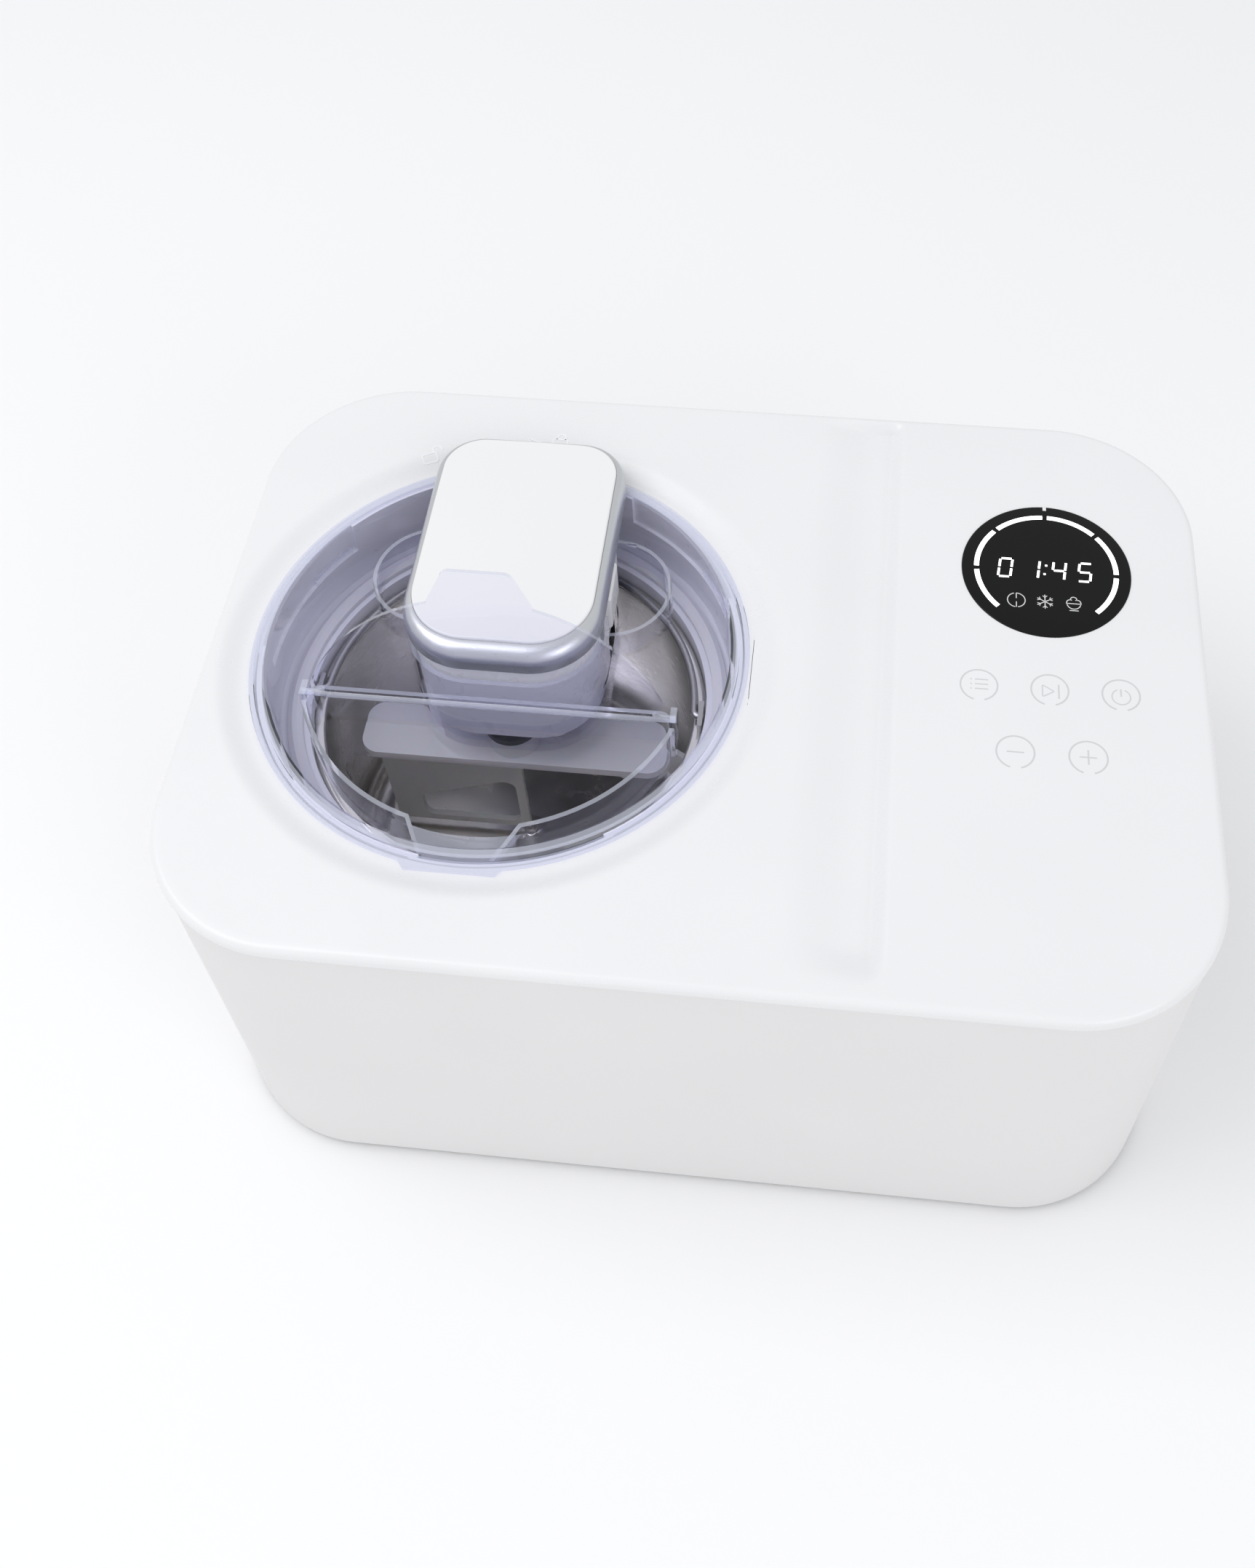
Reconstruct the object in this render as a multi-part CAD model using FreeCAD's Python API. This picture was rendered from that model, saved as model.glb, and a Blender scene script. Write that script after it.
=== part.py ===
import FreeCAD, Part
import math
import os

V = FreeCAD.Vector
UP = V(0, 0, 1)
os.makedirs("parts", exist_ok=True)

# Self-cooling ice cream maker. Millimetres, +Z up, +X to the right, front face towards -Y.
# The origin is on the table, under the middle of the casing.

# ---- overall sizes ----
BODY_W = 390.0          # casing width
BODY_D = 275.0          # casing depth
DECK_Z = 183.0          # top of the deck above the table
CORNER_R = 57.0         # casing corner radius in plan
FOOT_H = 3.0            # gap under the casing
CASE_WALL = 2.6
COVER_OVERHANG = 0.9    # the cover stands proud of the casing by this much
COVER_T = 2.8
COVER_LIP = 5.0         # height of the cover's visible side
COVER_EDGE_R = 3.0
SEAM_GAP = 0.3
FIT = 0.3               # gap between pieces that lie against each other
RUN_FIT = 0.06          # radial clearance of shafts in their bearings

# ---- bowl and lid, all about one vertical axis ----
LID_X = -80.0           # axis of bowl, paddle and lid
LID_RIM_R = 96.7
LID_RIM_W = 5.2
LID_RIM_Z = DECK_Z + 1.2
LID_WALL = 2.0
LID_FLANGE_R = 99.0
LID_FLANGE_T = 1.5
LID_DECK_Z = 153.0
LID_GAP = 0.7           # between the lid's wall and the collar
TWIST_DEG = 25.0        # lid turn from locked to unlocked
LUG_COUNT = 3
LUG_DEG = 14.0
LUG_Z = 165.0
LUG_H = 3.0
LUG_PROUD = 1.8
LUG_GAP = 0.4
COLLAR_T = 2.0
COLLAR_FLOOR_Z = 147.0
DISH_W = 14.0           # width of the shallow cone round the lid
BOWL_R = 77.5
BOWL_WALL = 1.2
BOWL_RIM_R = 80.8
BOWL_RIM_Z = 141.0
BOWL_FLOOR_Z = 40.0
BOWL_CORNER_R = 14.0
WELL_GAP = 1.2
WELL_WALL = 1.5
FOAM_T = 16.0
BAIL_WIRE_R = 1.6
BAIL_R = 76.4

# ---- chute and flap ----
CHUTE_DX = -1.5         # the chute sits a little left of the lid's axis
CHUTE_R = 77.0          # inside radius of the chute wall's curved side
CHUTE_BACK_Y = -21.0
CHUTE_WALL = 1.8
CHUTE_TOP_Z = 174.2
CHUTE_HALF_W = 71.5
CHUTE_MOUTH_R = 71.0
CHUTE_MOUTH_Y = -36.0
TAB_HALF_W = (19.0, 10.5)
TAB_R = (74.0, 91.0)
HINGE_Y = -23.2
HINGE_Z = 175.0
HINGE_PIN_R = 1.5
FLAP_T = 1.8
FLAP_GAP = 1.2
FLAP_BAR_HALF_W = 65.0
FLAP_TAB_Y = -89.4
FLAP_TAB_R = 4.0
FLAP_OPEN_DEG = 103.0

# ---- paddle ----
PADDLE_GAP = 2.2        # between the paddle and the bowl's wall
PADDLE_LIFT = 5.0       # between the paddle and the bowl's floor
SHELF_Z = 118.0         # upper face of the shelf under the hub
SHELF_T = 4.0
SHELF_HALF = (65.0, 13.0)
SHELF_CORNER_R = 8.0
BLADE_T = 2.6
BLADE_X = (-62.0, 0.5)
BLADE_STRIP = 4.0       # width of the blade's thin edges round its window
WINDOW_X = -47.5        # window's left side; the blade is wider there
WINDOW_TOP_Z = (67.0, 85.0)
WINDOW_R = 5.0
LEG_W = 8.0

# ---- motor unit ----
UNIT_HALF_W = 40.2
UNIT_Y = (-14.3, 101.0)
UNIT_CORNER_R = (28.0, 20.0)     # front, back
UNIT_BASE_Z = LID_RIM_Z + 0.9
UNIT_FRAME_H = 11.0
UNIT_EDGE_R = 8.0
UNIT_TOP_Z = 198.4
PANEL_INSET = 8.4
LOWER_HALF_W = 37.5
LOWER_Y = (-13.0, 58.0, 78.0)    # front, end of the deep part, back
LOWER_Z = (138.6, 161.0)         # underside of the deep and the shallow part
LOWER_WALL = 1.6
LOWER_CORNER_R = (26.0, 16.0)
SOCKET_GAP = 0.6
SOCKET_WALL = 2.0
SOCKET_TOP_Z = 178.0
SOCKET_FLOOR_Z = 134.5
LATCH_Y = (30.0, 50.0)
LATCH_Z = (160.0, 178.0)
LATCH_PROUD = 2.6
LATCH_T = 4.4
POCKET_Y = 45.0
POCKET_R = 24.0
POCKET_TOP_Z = 168.0
POCKET_WALL = 1.6
MODULE = 0.8
PINION_T, WHEEL_T, IDLER_T, OUTPUT_T = 12, 44, 12, 24
GEAR_SLACK = 0.10
GEAR_LOW = (143.0, 148.5)
GEAR_MID = (149.5, 151.5)
GEAR_HIGH = (153.0, 157.0)
GEAR_TOP = (158.2, 160.0)
SHAFT_R = 4.0
HEX_AF = 6.0
HUB_R = 7.0

# ---- control panel ----
PANEL_X = 135.0
DISPLAY_Y = 57.5
DISPLAY_R = 34.0
DISPLAY_T = 2.0
KEY_R = 7.0
KEY_PITCH = 27.0
KEY_ROW_Y = (-1.7, -31.3)
GROOVE_X = (38.0, 68.0, 76.5)    # left edge, bottom, right edge
GROOVE_Y = (-128.0, 131.0)
GROOVE_DEPTH = 5.0

# ---- cooling circuit ----
COMP_X, COMP_Y, COMP_R, COMP_H = 78.0, 12.0, 42.0, 108.0
COMP_FOOT_R = 50.0
COND_X = (158.0, 180.0)
COND_HALF_Y = 55.0
COND_Z = (16.0, 126.0)
FAN_R = 44.0
FAN_X = 146.0
FAN_Z = 71.0
TUBE_R = 2.5
COIL_TURNS = 6

SEAM_Z = DECK_Z - COVER_LIP
COVER_W = BODY_W + 2 * COVER_OVERHANG
COVER_D = BODY_D + 2 * COVER_OVERHANG
LID_IN_R = LID_RIM_R - LID_RIM_W
COLLAR_IN_R = LID_IN_R + LID_WALL + LID_GAP
COLLAR_OUT_R = COLLAR_IN_R + COLLAR_T
COVER_HOLE_R = COLLAR_OUT_R + 0.8
LUG_R = LID_IN_R + LID_WALL + LUG_PROUD
CHANNEL_R = LUG_R + LUG_GAP
LEDGE_Z = LID_RIM_Z - 4.9
FLANGE_Z = LEDGE_Z + 0.2
WELL_IN_R = BOWL_R + WELL_GAP
IDLER_Y = MODULE * (IDLER_T + OUTPUT_T) / 2
PINION_Y = IDLER_Y + MODULE * (WHEEL_T + PINION_T) / 2
COVER_UNDER = DECK_Z - COVER_T


# ---- shape helpers ----
def save(shape, name):
    """Write one node; every node is a valid closed solid or a group of them."""
    assert shape.isValid(), name
    shape.exportStep("parts/%s.step" % name)
    print(name, len(shape.Solids), round(shape.Volume))


def box(x, y, z):
    return Part.makeBox(x[1] - x[0], y[1] - y[0], z[1] - z[0], V(x[0], y[0], z[0]))


def cyl(x, y, z, r):
    return Part.makeCylinder(r, z[1] - z[0], V(x, y, z[0]))


def ring(x, y, z, r_out, r_in):
    return cyl(x, y, z, r_out).cut(cyl(x, y, (z[0] - 1, z[1] + 1), r_in))


def rod_x(x, y, z, r):
    return Part.makeCylinder(r, x[1] - x[0], V(x[0], y, z), V(1, 0, 0))


def rod_y(x, y, z, r):
    return Part.makeCylinder(r, y[1] - y[0], V(x, y[0], z), V(0, 1, 0))


def turned(profile, x, y):
    """Solid of revolution of an (r, z) polygon about the vertical axis at x, y."""
    pts = [V(x + r, y, z) for r, z in profile]
    return Part.Face(Part.makePolygon(pts + pts[:1])).revolve(V(x, y, 0), UP, 360)


def plan(x, y, r_front, r_back, z):
    """Rounded rectangle face in plan, with its own front and back corner radii."""
    edges = []
    corners = [(x[1], y[1], r_back, 0), (x[0], y[1], r_back, 90),
               (x[0], y[0], r_front, 180), (x[1], y[0], r_front, 270)]
    ends = []
    for cx, cy, r, start in corners:
        mid = V(cx - math.copysign(r, cx - sum(x) / 2), cy - math.copysign(r, cy - sum(y) / 2), z)
        arc = Part.makeCircle(r, mid, UP, start, start + 90)
        edges.append(arc)
        ends.append((arc.valueAt(arc.FirstParameter), arc.valueAt(arc.LastParameter)))
    for i in range(4):
        edges.append(Part.makeLine(ends[i][1], ends[(i + 1) % 4][0]))
    return Part.Face(Part.Wire(Part.__sortEdges__(edges)))


def slab(x, y, z, r_front, r_back=None):
    return plan(x, y, r_front, r_back or r_front, z[0]).extrude(V(0, 0, z[1] - z[0]))


def grown(x, y, by):
    return (x[0] - by, x[1] + by), (y[0] - by, y[1] + by)


def case_slab(w, d, z, r):
    return slab((-w / 2, w / 2), (-d / 2, d / 2), z, r)


def prism(points, z):
    """Solid of an (x, y) polygon between two heights."""
    pts = [V(px, py, z[0]) for px, py in points]
    return Part.Face(Part.makePolygon(pts + pts[:1])).extrude(V(0, 0, z[1] - z[0]))


def about(shape, x, y, deg):
    out = shape.copy()
    out.rotate(V(x, y, 0), UP, deg)
    return out


def mirrored(shape, x):
    return shape.mirror(V(x, 0, 0), V(1, 0, 0))


def fillet_at(shape, z, r, tol=0.01):
    """Round every edge that lies wholly at one height."""
    edges = [e for e in shape.Edges
             if abs(e.BoundBox.ZMin - z) < tol and abs(e.BoundBox.ZMax - z) < tol]
    return shape.makeFillet(r, edges)


def pipe(points, r, bend):
    """Tube along straight runs joined by tangent arcs; returns a solid rod of the tube's size."""
    pts = [V(*p) for p in points]
    edges = []
    at = pts[0]
    for a, b, c in zip(pts, pts[1:], pts[2:]):
        u = (b - a).normalize()
        w = (c - b).normalize()
        turn = u.getAngle(w)
        cut = bend * math.tan(turn / 2)
        start = b - u * cut
        end = b + w * cut
        bis = (w - u).normalize()
        mid = b + bis * (bend / math.cos(turn / 2) - bend)
        edges.append(Part.makeLine(at, start))
        edges.append(Part.Arc(start, mid, end).toShape())
        at = end
    edges.append(Part.makeLine(at, pts[-1]))
    path = Part.Wire(edges)
    section = Part.Wire(Part.makeCircle(r, pts[0], pts[1] - pts[0]))
    return path.makePipeShell([section], True, False)


def gear(teeth, x, y, z, bore, turn_deg=0.0):
    """Spur gear with involute flanks, thinned by GEAR_SLACK for backlash."""
    pitch = MODULE * teeth / 2
    base = pitch * math.cos(math.radians(20))
    tip = pitch + MODULE * 0.95
    root = pitch - MODULE * 1.2
    inv20 = math.tan(math.radians(20)) - math.radians(20)
    half = math.pi / (2 * teeth) - GEAR_SLACK / pitch
    flank = []
    for k in range(5):
        r = max(base, root) + (tip - max(base, root)) * k / 4
        a = math.acos(min(1.0, base / r))
        flank.append((r, half + inv20 - (math.tan(a) - a)))
    flank.insert(0, (root, flank[0][1] + 0.01))
    pts = []
    for t in range(teeth):
        mid = 2 * math.pi * t / teeth + math.radians(turn_deg)
        side = [(r, mid - a) for r, a in flank] + [(r, mid + a) for r, a in reversed(flank)]
        pts += [(x + r * math.cos(a), y + r * math.sin(a)) for r, a in side]
    body = prism(pts, z)
    return body.cut(cyl(x, y, (z[0] - 1, z[1] + 1), bore)) if bore else body


def hexagon(x, y, z, across):
    r = across / math.sqrt(3)
    angles = [math.radians(60 * k) for k in range(6)]
    return prism([(x + r * math.cos(a), y + r * math.sin(a)) for a in angles], z)


def screw(x, y, z, r=1.5, length=10.0, up=True):
    """Pan-head screw; z is the seat of the head, and the shank goes up or down from it."""
    sign = 1 if up else -1
    head = cyl(x, y, (min(z, z - sign * 1.8), max(z, z - sign * 1.8)), r * 1.9)
    shank = cyl(x, y, (min(z, z + sign * length), max(z, z + sign * length)), r)
    return head.fuse(shank).removeSplitter()


# ---- casing ----
FOOT_INSET = 38.0
FOOT_R = 9.0
FOOT_AT = [(sx * (BODY_W / 2 - FOOT_INSET), sy * (BODY_D / 2 - FOOT_INSET))
           for sx in (-1, 1) for sy in (-1, 1)]
BASE_T = 3.0
BASE_Z = (FOOT_H + 0.4, FOOT_H + 0.4 + BASE_T)
BASE_SCREW_AT = [(sx * (BODY_W / 2 - 62), sy * (BODY_D / 2 - 14)) for sx in (-1, 1) for sy in (-1, 1)]
INLET_X, INLET_Z, INLET_R = 120.0, 30.0, 8.0
VENT_W, VENT_PITCH, VENT_Z = 4.0, 10.0, (28.0, 88.0)


def body_shell():
    outer = case_slab(BODY_W, BODY_D, (FOOT_H, SEAM_Z), CORNER_R)
    inner = case_slab(BODY_W - 2 * CASE_WALL, BODY_D - 2 * CASE_WALL, (FOOT_H - 1, SEAM_Z + 1),
                      CORNER_R - CASE_WALL)
    shell = outer.cut(inner)
    bosses = [cyl(px, py, (BASE_Z[1] + 0.2, BASE_Z[1] + 16), 4.2)
              .cut(cyl(px, py, (BASE_Z[1], BASE_Z[1] + 13), 1.6)) for px, py in BASE_SCREW_AT]
    webs = [box((px - 1.2, px + 1.2), (min(py, py * 1.1), max(py, py * 1.1)),
                (BASE_Z[1] + 0.2, BASE_Z[1] + 16)).cut(cyl(px, py, (0, 40), 3.9)) for px, py in BASE_SCREW_AT]
    webs = [w.common(inner.fuse(outer)) for w in webs]
    shell = shell.multiFuse(bosses + webs)
    cuts = []
    side_n = 11
    for side in (-1, 1):
        for k in range(side_n):
            y = (k - (side_n - 1) / 2) * VENT_PITCH
            x = (side * BODY_W / 2 - 6, side * BODY_W / 2 + 6)
            cuts.append(box(x, (y - VENT_W / 2, y + VENT_W / 2), VENT_Z))
    for k in range(15):
        x = 90 + (k - 7) * VENT_PITCH
        cuts.append(box((x - VENT_W / 2, x + VENT_W / 2), (BODY_D / 2 - 6, BODY_D / 2 + 6),
                        (VENT_Z[0] + 40, VENT_Z[1] + 40)))
    cuts.append(rod_y(INLET_X, (BODY_D / 2 - 8, BODY_D / 2 + 2), INLET_Z, INLET_R))
    return shell.cut(Part.makeCompound(cuts)).removeSplitter()


def base_plate():
    inset = CASE_WALL + 0.4
    plate = case_slab(BODY_W - 2 * inset, BODY_D - 2 * inset, BASE_Z, CORNER_R - inset)
    holes = [cyl(px, py, (0, 20), 1.8) for px, py in BASE_SCREW_AT]
    holes += [cyl(px, py, (BASE_Z[0] - 1, BASE_Z[0] + 1.2), FOOT_R + 0.2) for px, py in FOOT_AT]
    slots = [box((x - 2, x + 2), (-30, 30), (0, 20)) for x in range(110, 175, 10)]
    return plate.cut(Part.makeCompound(holes + slots))


def feet():
    pads = [fillet_at(cyl(px, py, (0, BASE_Z[0] + 1.1), FOOT_R), 0, 0.8) for px, py in FOOT_AT]
    return Part.makeCompound(pads)


def base_screws():
    return Part.makeCompound([screw(px, py, BASE_Z[0], r=1.5, length=12.0) for px, py in BASE_SCREW_AT])


def groove_cut():
    """Soft trough between the bowl side and the control panel: gentle left flank, steep right flank."""
    x0, xb, x1 = GROOVE_X
    top, low = DECK_Z + 0.01, DECK_Z - GROOVE_DEPTH
    y0, y1 = GROOVE_Y
    left = Part.Arc(V(x0, y0, top), V((x0 + xb) / 2, y0, DECK_Z - GROOVE_DEPTH * 0.42), V(xb, y0, low))
    right = Part.Arc(V(xb, y0, low), V(xb + 5.2, y0, low + 1.4), V(x1, y0, top))
    above = Part.makePolygon([V(x1, y0, top), V(x1, y0, top + 5), V(x0, y0, top + 5), V(x0, y0, top)])
    face = Part.Face(Part.Wire([left.toShape(), right.toShape()] + above.Edges))
    trough = face.extrude(V(0, y1 - y0, 0))
    return trough.common(slab((x0 - 1, x1 + 1), (y0, y1), (low - 5, top + 10), 9.0))


def top_cover():
    cover = case_slab(COVER_W, COVER_D, (SEAM_Z + SEAM_GAP, DECK_Z), CORNER_R + COVER_OVERHANG)
    cover = fillet_at(cover, DECK_Z, COVER_EDGE_R)
    lip_in = COVER_OVERHANG + CASE_WALL + 0.4
    hollow = case_slab(COVER_W - 2 * lip_in, COVER_D - 2 * lip_in, (SEAM_Z - 1, COVER_UNDER),
                       CORNER_R + COVER_OVERHANG - lip_in)
    cover = cover.cut(hollow)
    inner_w, inner_d = BODY_W - 2 * CASE_WALL - 2 * FIT, BODY_D - 2 * CASE_WALL - 2 * FIT
    inner_r = CORNER_R - CASE_WALL - FIT
    skirt = case_slab(inner_w, inner_d, (SEAM_Z - 8, COVER_UNDER + 1), inner_r)
    skirt = skirt.cut(case_slab(inner_w - 4, inner_d - 4, (SEAM_Z - 9, COVER_UNDER + 2), inner_r - 2))
    dish_r = LID_FLANGE_R + 2 + DISH_W
    thick = cyl(LID_X, 0, (LEDGE_Z - 2.6, COVER_UNDER + 1), dish_r + 2)
    keel = box((GROOVE_X[0] - 3, GROOVE_X[2] + 3), (GROOVE_Y[0] - 3, GROOVE_Y[1] + 2),
               (DECK_Z - GROOVE_DEPTH - 2.4, COVER_UNDER + 1))
    room = case_slab(inner_w - 1, inner_d - 1, (0, DECK_Z), inner_r - 0.5)
    cover = cover.multiFuse([skirt, thick.common(room), keel.common(room)])
    dish = turned([(0, LEDGE_Z), (LID_FLANGE_R + 2, LEDGE_Z), (dish_r, DECK_Z), (dish_r, DECK_Z + 2),
                   (0, DECK_Z + 2)], LID_X, 0)
    cuts = [dish, groove_cut(), cyl(LID_X, 0, (LEDGE_Z - 9, DECK_Z), COVER_HOLE_R),
            cyl(PANEL_X, DISPLAY_Y, (DECK_Z - DISPLAY_T + 0.3, DECK_Z + 1), DISPLAY_R + 0.25),
            cyl(PANEL_X, DISPLAY_Y, (COVER_UNDER - 1, DECK_Z), DISPLAY_R - 4)]
    return cover.cut(Part.makeCompound(cuts)).removeSplitter()


def well_collar():
    """White ring that joins the deck's round hole to the cooling well and carries the lid."""
    z0, z1 = COLLAR_FLOOR_Z, LEDGE_Z - 0.1
    neck_in = BOWL_RIM_R + 0.7
    neck_z = BOWL_RIM_Z - 4.0
    neck = turned([(COLLAR_IN_R, z1), (COLLAR_OUT_R, z1), (COLLAR_OUT_R, z0 - COLLAR_T),
                   (neck_in + COLLAR_T, z0 - COLLAR_T), (neck_in + COLLAR_T, neck_z), (neck_in, neck_z),
                   (neck_in, z0), (COLLAR_IN_R, z0)], LID_X, 0)
    ears = []
    for k in range(3):
        ear = box((LID_X + COLLAR_OUT_R - 1, LID_X + COLLAR_OUT_R + 7), (-5, 5), (172.0, 175.0))
        ear = ear.cut(cyl(LID_X + COLLAR_OUT_R + 3.5, 0, (170, 177), 1.7))
        ears.append(about(ear, LID_X, 0, 100 + 120 * k))
    neck = neck.multiFuse([e.cut(cyl(LID_X, 0, (170, 177), COLLAR_IN_R + 0.5)) for e in ears])
    span = TWIST_DEG + LUG_DEG + 3
    backing = ring(LID_X, 0, (LUG_Z - 3, z1), COVER_HOLE_R - FIT, CHANNEL_R)
    cuts = []
    for k in range(LUG_COUNT):
        start = 30 + 360 / LUG_COUNT * k - LUG_DEG / 2 - 1.5
        behind = Part.makeCylinder(LID_RIM_R + 3, z1 - LUG_Z + 3, V(LID_X, 0, LUG_Z - 3), UP, span + 4)
        neck = neck.fuse(backing.common(about(behind, LID_X, 0, start - 2)))
        sector = Part.makeCylinder(CHANNEL_R, z1 - LUG_Z + 3, V(LID_X, 0, LUG_Z - 1), UP, span)
        sector = about(sector, LID_X, 0, start)
        cuts.append(sector.cut(cyl(LID_X, 0, (0, 200), COLLAR_IN_R - 2)))
    contact = box((LID_X - 13, LID_X + 13), (COLLAR_IN_R - 4, COLLAR_OUT_R + 4), (163.5, 176.5))
    return neck.cut(Part.makeCompound(cuts + [contact])).removeSplitter()


def supply_contacts():
    """Block with the spring strips that feed the motor unit through the lid."""
    y0 = COLLAR_IN_R - FIT
    block = box((LID_X - 12, LID_X + 12), (y0 + 0.8, y0 + 8), (164.0, 176.0))
    strips = [box((LID_X + dx - 2, LID_X + dx + 2), (y0, y0 + 1.0), (166.0, 174.0)) for dx in (-6, 6)]
    return block.multiFuse(strips).removeSplitter()


def cooling_well():
    z_top = BOWL_RIM_Z - 5.0
    r0, r1 = WELL_IN_R, WELL_IN_R + WELL_WALL
    z0 = BOWL_FLOOR_Z - WELL_GAP - 1.0
    cup = cyl(LID_X, 0, (z0 - WELL_WALL, z_top), r1)
    hole = fillet_at(cyl(LID_X, 0, (z0, z_top + 5), r0), z0, BOWL_CORNER_R - 2)
    cup = fillet_at(cup, z0 - WELL_WALL, BOWL_CORNER_R - 1)
    flange = ring(LID_X, 0, (z_top - 1.2, z_top), r1 + 4, r1 - 0.5)
    return cup.fuse(flange).cut(hole).removeSplitter()


def evaporator_coil():
    """Copper turns round the well, in the foam, joined by short links."""
    r = WELL_IN_R + WELL_WALL + TUBE_R + 0.2
    zs = [58 + 12 * k for k in range(COIL_TURNS)]
    turns = [Part.makeTorus(r, TUBE_R, V(LID_X, 0, z)) for z in zs]
    links = [cyl(LID_X + r * math.cos(a), r * math.sin(a), (z, z + 12), TUBE_R * 0.8)
             for z, a in zip(zs[:-1], [0.3 * k - 0.6 for k in range(COIL_TURNS)])]
    stubs = [rod_x((LID_X + r, LID_X + r + FOAM_T + 6), 0, z, TUBE_R * 0.8) for z in (zs[0], zs[-1])]
    return turns[0].multiFuse(turns[1:] + links + stubs)


def foam_jacket():
    r_in = WELL_IN_R + WELL_WALL + 2 * TUBE_R + 0.6
    r_out = r_in + FOAM_T
    z0, z1 = BASE_Z[1] + 8.0, BOWL_RIM_Z - 8.0
    jacket = cyl(LID_X, 0, (z0, z1), r_out)
    jacket = jacket.cut(cyl(LID_X, 0, (BOWL_FLOOR_Z - 6.0, z1 + 1), r_in))
    room = case_slab(BODY_W - 2 * CASE_WALL - 2, BODY_D - 2 * CASE_WALL - 2, (0, z1), CORNER_R - 4)
    stubs = [rod_x((LID_X + r_in - 2, LID_X + r_out + 4), 0, 58 + 12 * k, TUBE_R * 0.8 + FIT)
             for k in (0, COIL_TURNS - 1)]
    return jacket.common(room).cut(Part.makeCompound(stubs))


def well_stand():
    """Moulded feet that carry the foam and the well off the base."""
    r = WELL_IN_R - 8
    turns = [math.radians(45 + 90 * k) for k in range(4)]
    spots = [(LID_X + r * math.cos(turn), r * math.sin(turn)) for turn in turns]
    return Part.makeCompound([ring(px, py, (BASE_Z[1] + 0.1, BASE_Z[1] + 7.9), 9, 5) for px, py in spots])


# ---- cooling circuit ----
def compressor():
    z0 = BASE_Z[1] + 12
    can = cyl(COMP_X, COMP_Y, (z0, z0 + COMP_H), COMP_R)
    can = can.makeFillet(18, [e for e in can.Edges if abs(e.BoundBox.ZMax - e.BoundBox.ZMin) < 0.01])
    seam = cyl(COMP_X, COMP_Y, (z0 + 44, z0 + 48), COMP_R + 2)
    legs = []
    for k in range(3):
        arm = box((COMP_X, COMP_X + COMP_FOOT_R + 8), (COMP_Y - 9, COMP_Y + 9), (z0 + 16, z0 + 19))
        arm = arm.cut(cyl(COMP_X + COMP_FOOT_R, COMP_Y, (z0, z0 + 30), 3.4))
        arm = arm.cut(cyl(COMP_X, COMP_Y, (z0, z0 + 30), COMP_R - 6))
        legs.append(about(arm, COMP_X, COMP_Y, 90 + 120 * k))
    y_front = COMP_Y - COMP_R
    terminal = box((COMP_X - 16, COMP_X + 16), (y_front - 8, y_front + 6), (z0 + 55, z0 + 85))
    return can.multiFuse([seam, terminal] + legs).removeSplitter()


def compressor_grommets():
    z0 = BASE_Z[1] + 0.2
    z_arm = BASE_Z[1] + 28
    out = []
    for k in range(3):
        a = math.radians(90 + 120 * k)
        px, py = COMP_X + COMP_FOOT_R * math.cos(a), COMP_Y + COMP_FOOT_R * math.sin(a)
        body = cyl(px, py, (z0, z_arm - 0.2), 6.5).fuse(cyl(px, py, (z_arm - 0.2, z_arm + 6), 3.1))
        out.append(body.cut(cyl(px, py, (z0 - 1, z_arm + 8), 1.6)))
    return Part.makeCompound(out)


def condenser():
    """Fin pack with hairpin tubes between two end plates."""
    fins = [box(COND_X, (y - 0.3, y + 0.3), COND_Z) for y in [-COND_HALF_Y + 3 + 4 * k for k in range(27)]]
    ends = [box(COND_X, (s * COND_HALF_Y - 1, s * COND_HALF_Y + 1), COND_Z) for s in (-1, 1)]
    rows = [rod_y(sum(COND_X) / 2 + dx, (-COND_HALF_Y - 3, COND_HALF_Y + 3), COND_Z[0] + 11 + 22 * k, 3.2)
            for k in range(5) for dx in (-5, 5)]
    return ends[0].multiFuse(ends[1:] + fins + rows)


def fan_shroud():
    x0, x1 = FAN_X - 8, COND_X[0] - 0.5
    plate = box((x1 - 3, x1), (-COND_HALF_Y, COND_HALF_Y), COND_Z)
    duct = Part.makeCylinder(FAN_R + 4, x1 - x0 - 1, V(x0, 0, FAN_Z), V(1, 0, 0))
    hole = Part.makeCylinder(FAN_R + 2, x1 - x0 + 4, V(x0 - 1, 0, FAN_Z), V(1, 0, 0))
    arms = [box((x0, x0 + 2.5), (-FAN_R - 3, FAN_R + 3), (FAN_Z - 3, FAN_Z + 3))]
    arms.append(box((x0, x0 + 2.5), (-3, 3), (FAN_Z - FAN_R - 3, FAN_Z + FAN_R + 3)))
    hub = rod_x((x0, x0 + 2.5), 0, FAN_Z, 13)
    return plate.fuse(duct).cut(hole).multiFuse(arms + [hub]).cut(rod_x((x0 - 1, x0 + 4), 0, FAN_Z, 2.6))


def fan_motor():
    x0 = FAN_X - 8
    can = rod_x((x0 - 14, x0 - 0.1), 0, FAN_Z, 12)
    return can.fuse(rod_x((x0 - 0.1, x0 + 14), 0, FAN_Z, 1.5))


def fan_blades():
    x0 = FAN_X - 2.5
    hub = rod_x((x0, x0 + 9), 0, FAN_Z, 11).cut(rod_x((x0 - 1, x0 + 10), 0, FAN_Z, 1.5 + RUN_FIT))
    blades = []
    for k in range(7):
        blade = box((-1.0, 1.0), (-7.5, 7.5), (10, FAN_R))
        blade.rotate(V(0, 0, 0), V(0, 0, 1), 55)
        blade.translate(V(x0 + 4.5, 0, FAN_Z))
        blade.rotate(V(x0, 0, FAN_Z), V(1, 0, 0), 360 / 7 * k)
        blades.append(blade)
    room = rod_x((x0 - 2, x0 + 11), 0, FAN_Z, FAN_R)
    return hub.multiFuse([b.common(room) for b in blades]).removeSplitter()


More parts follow.
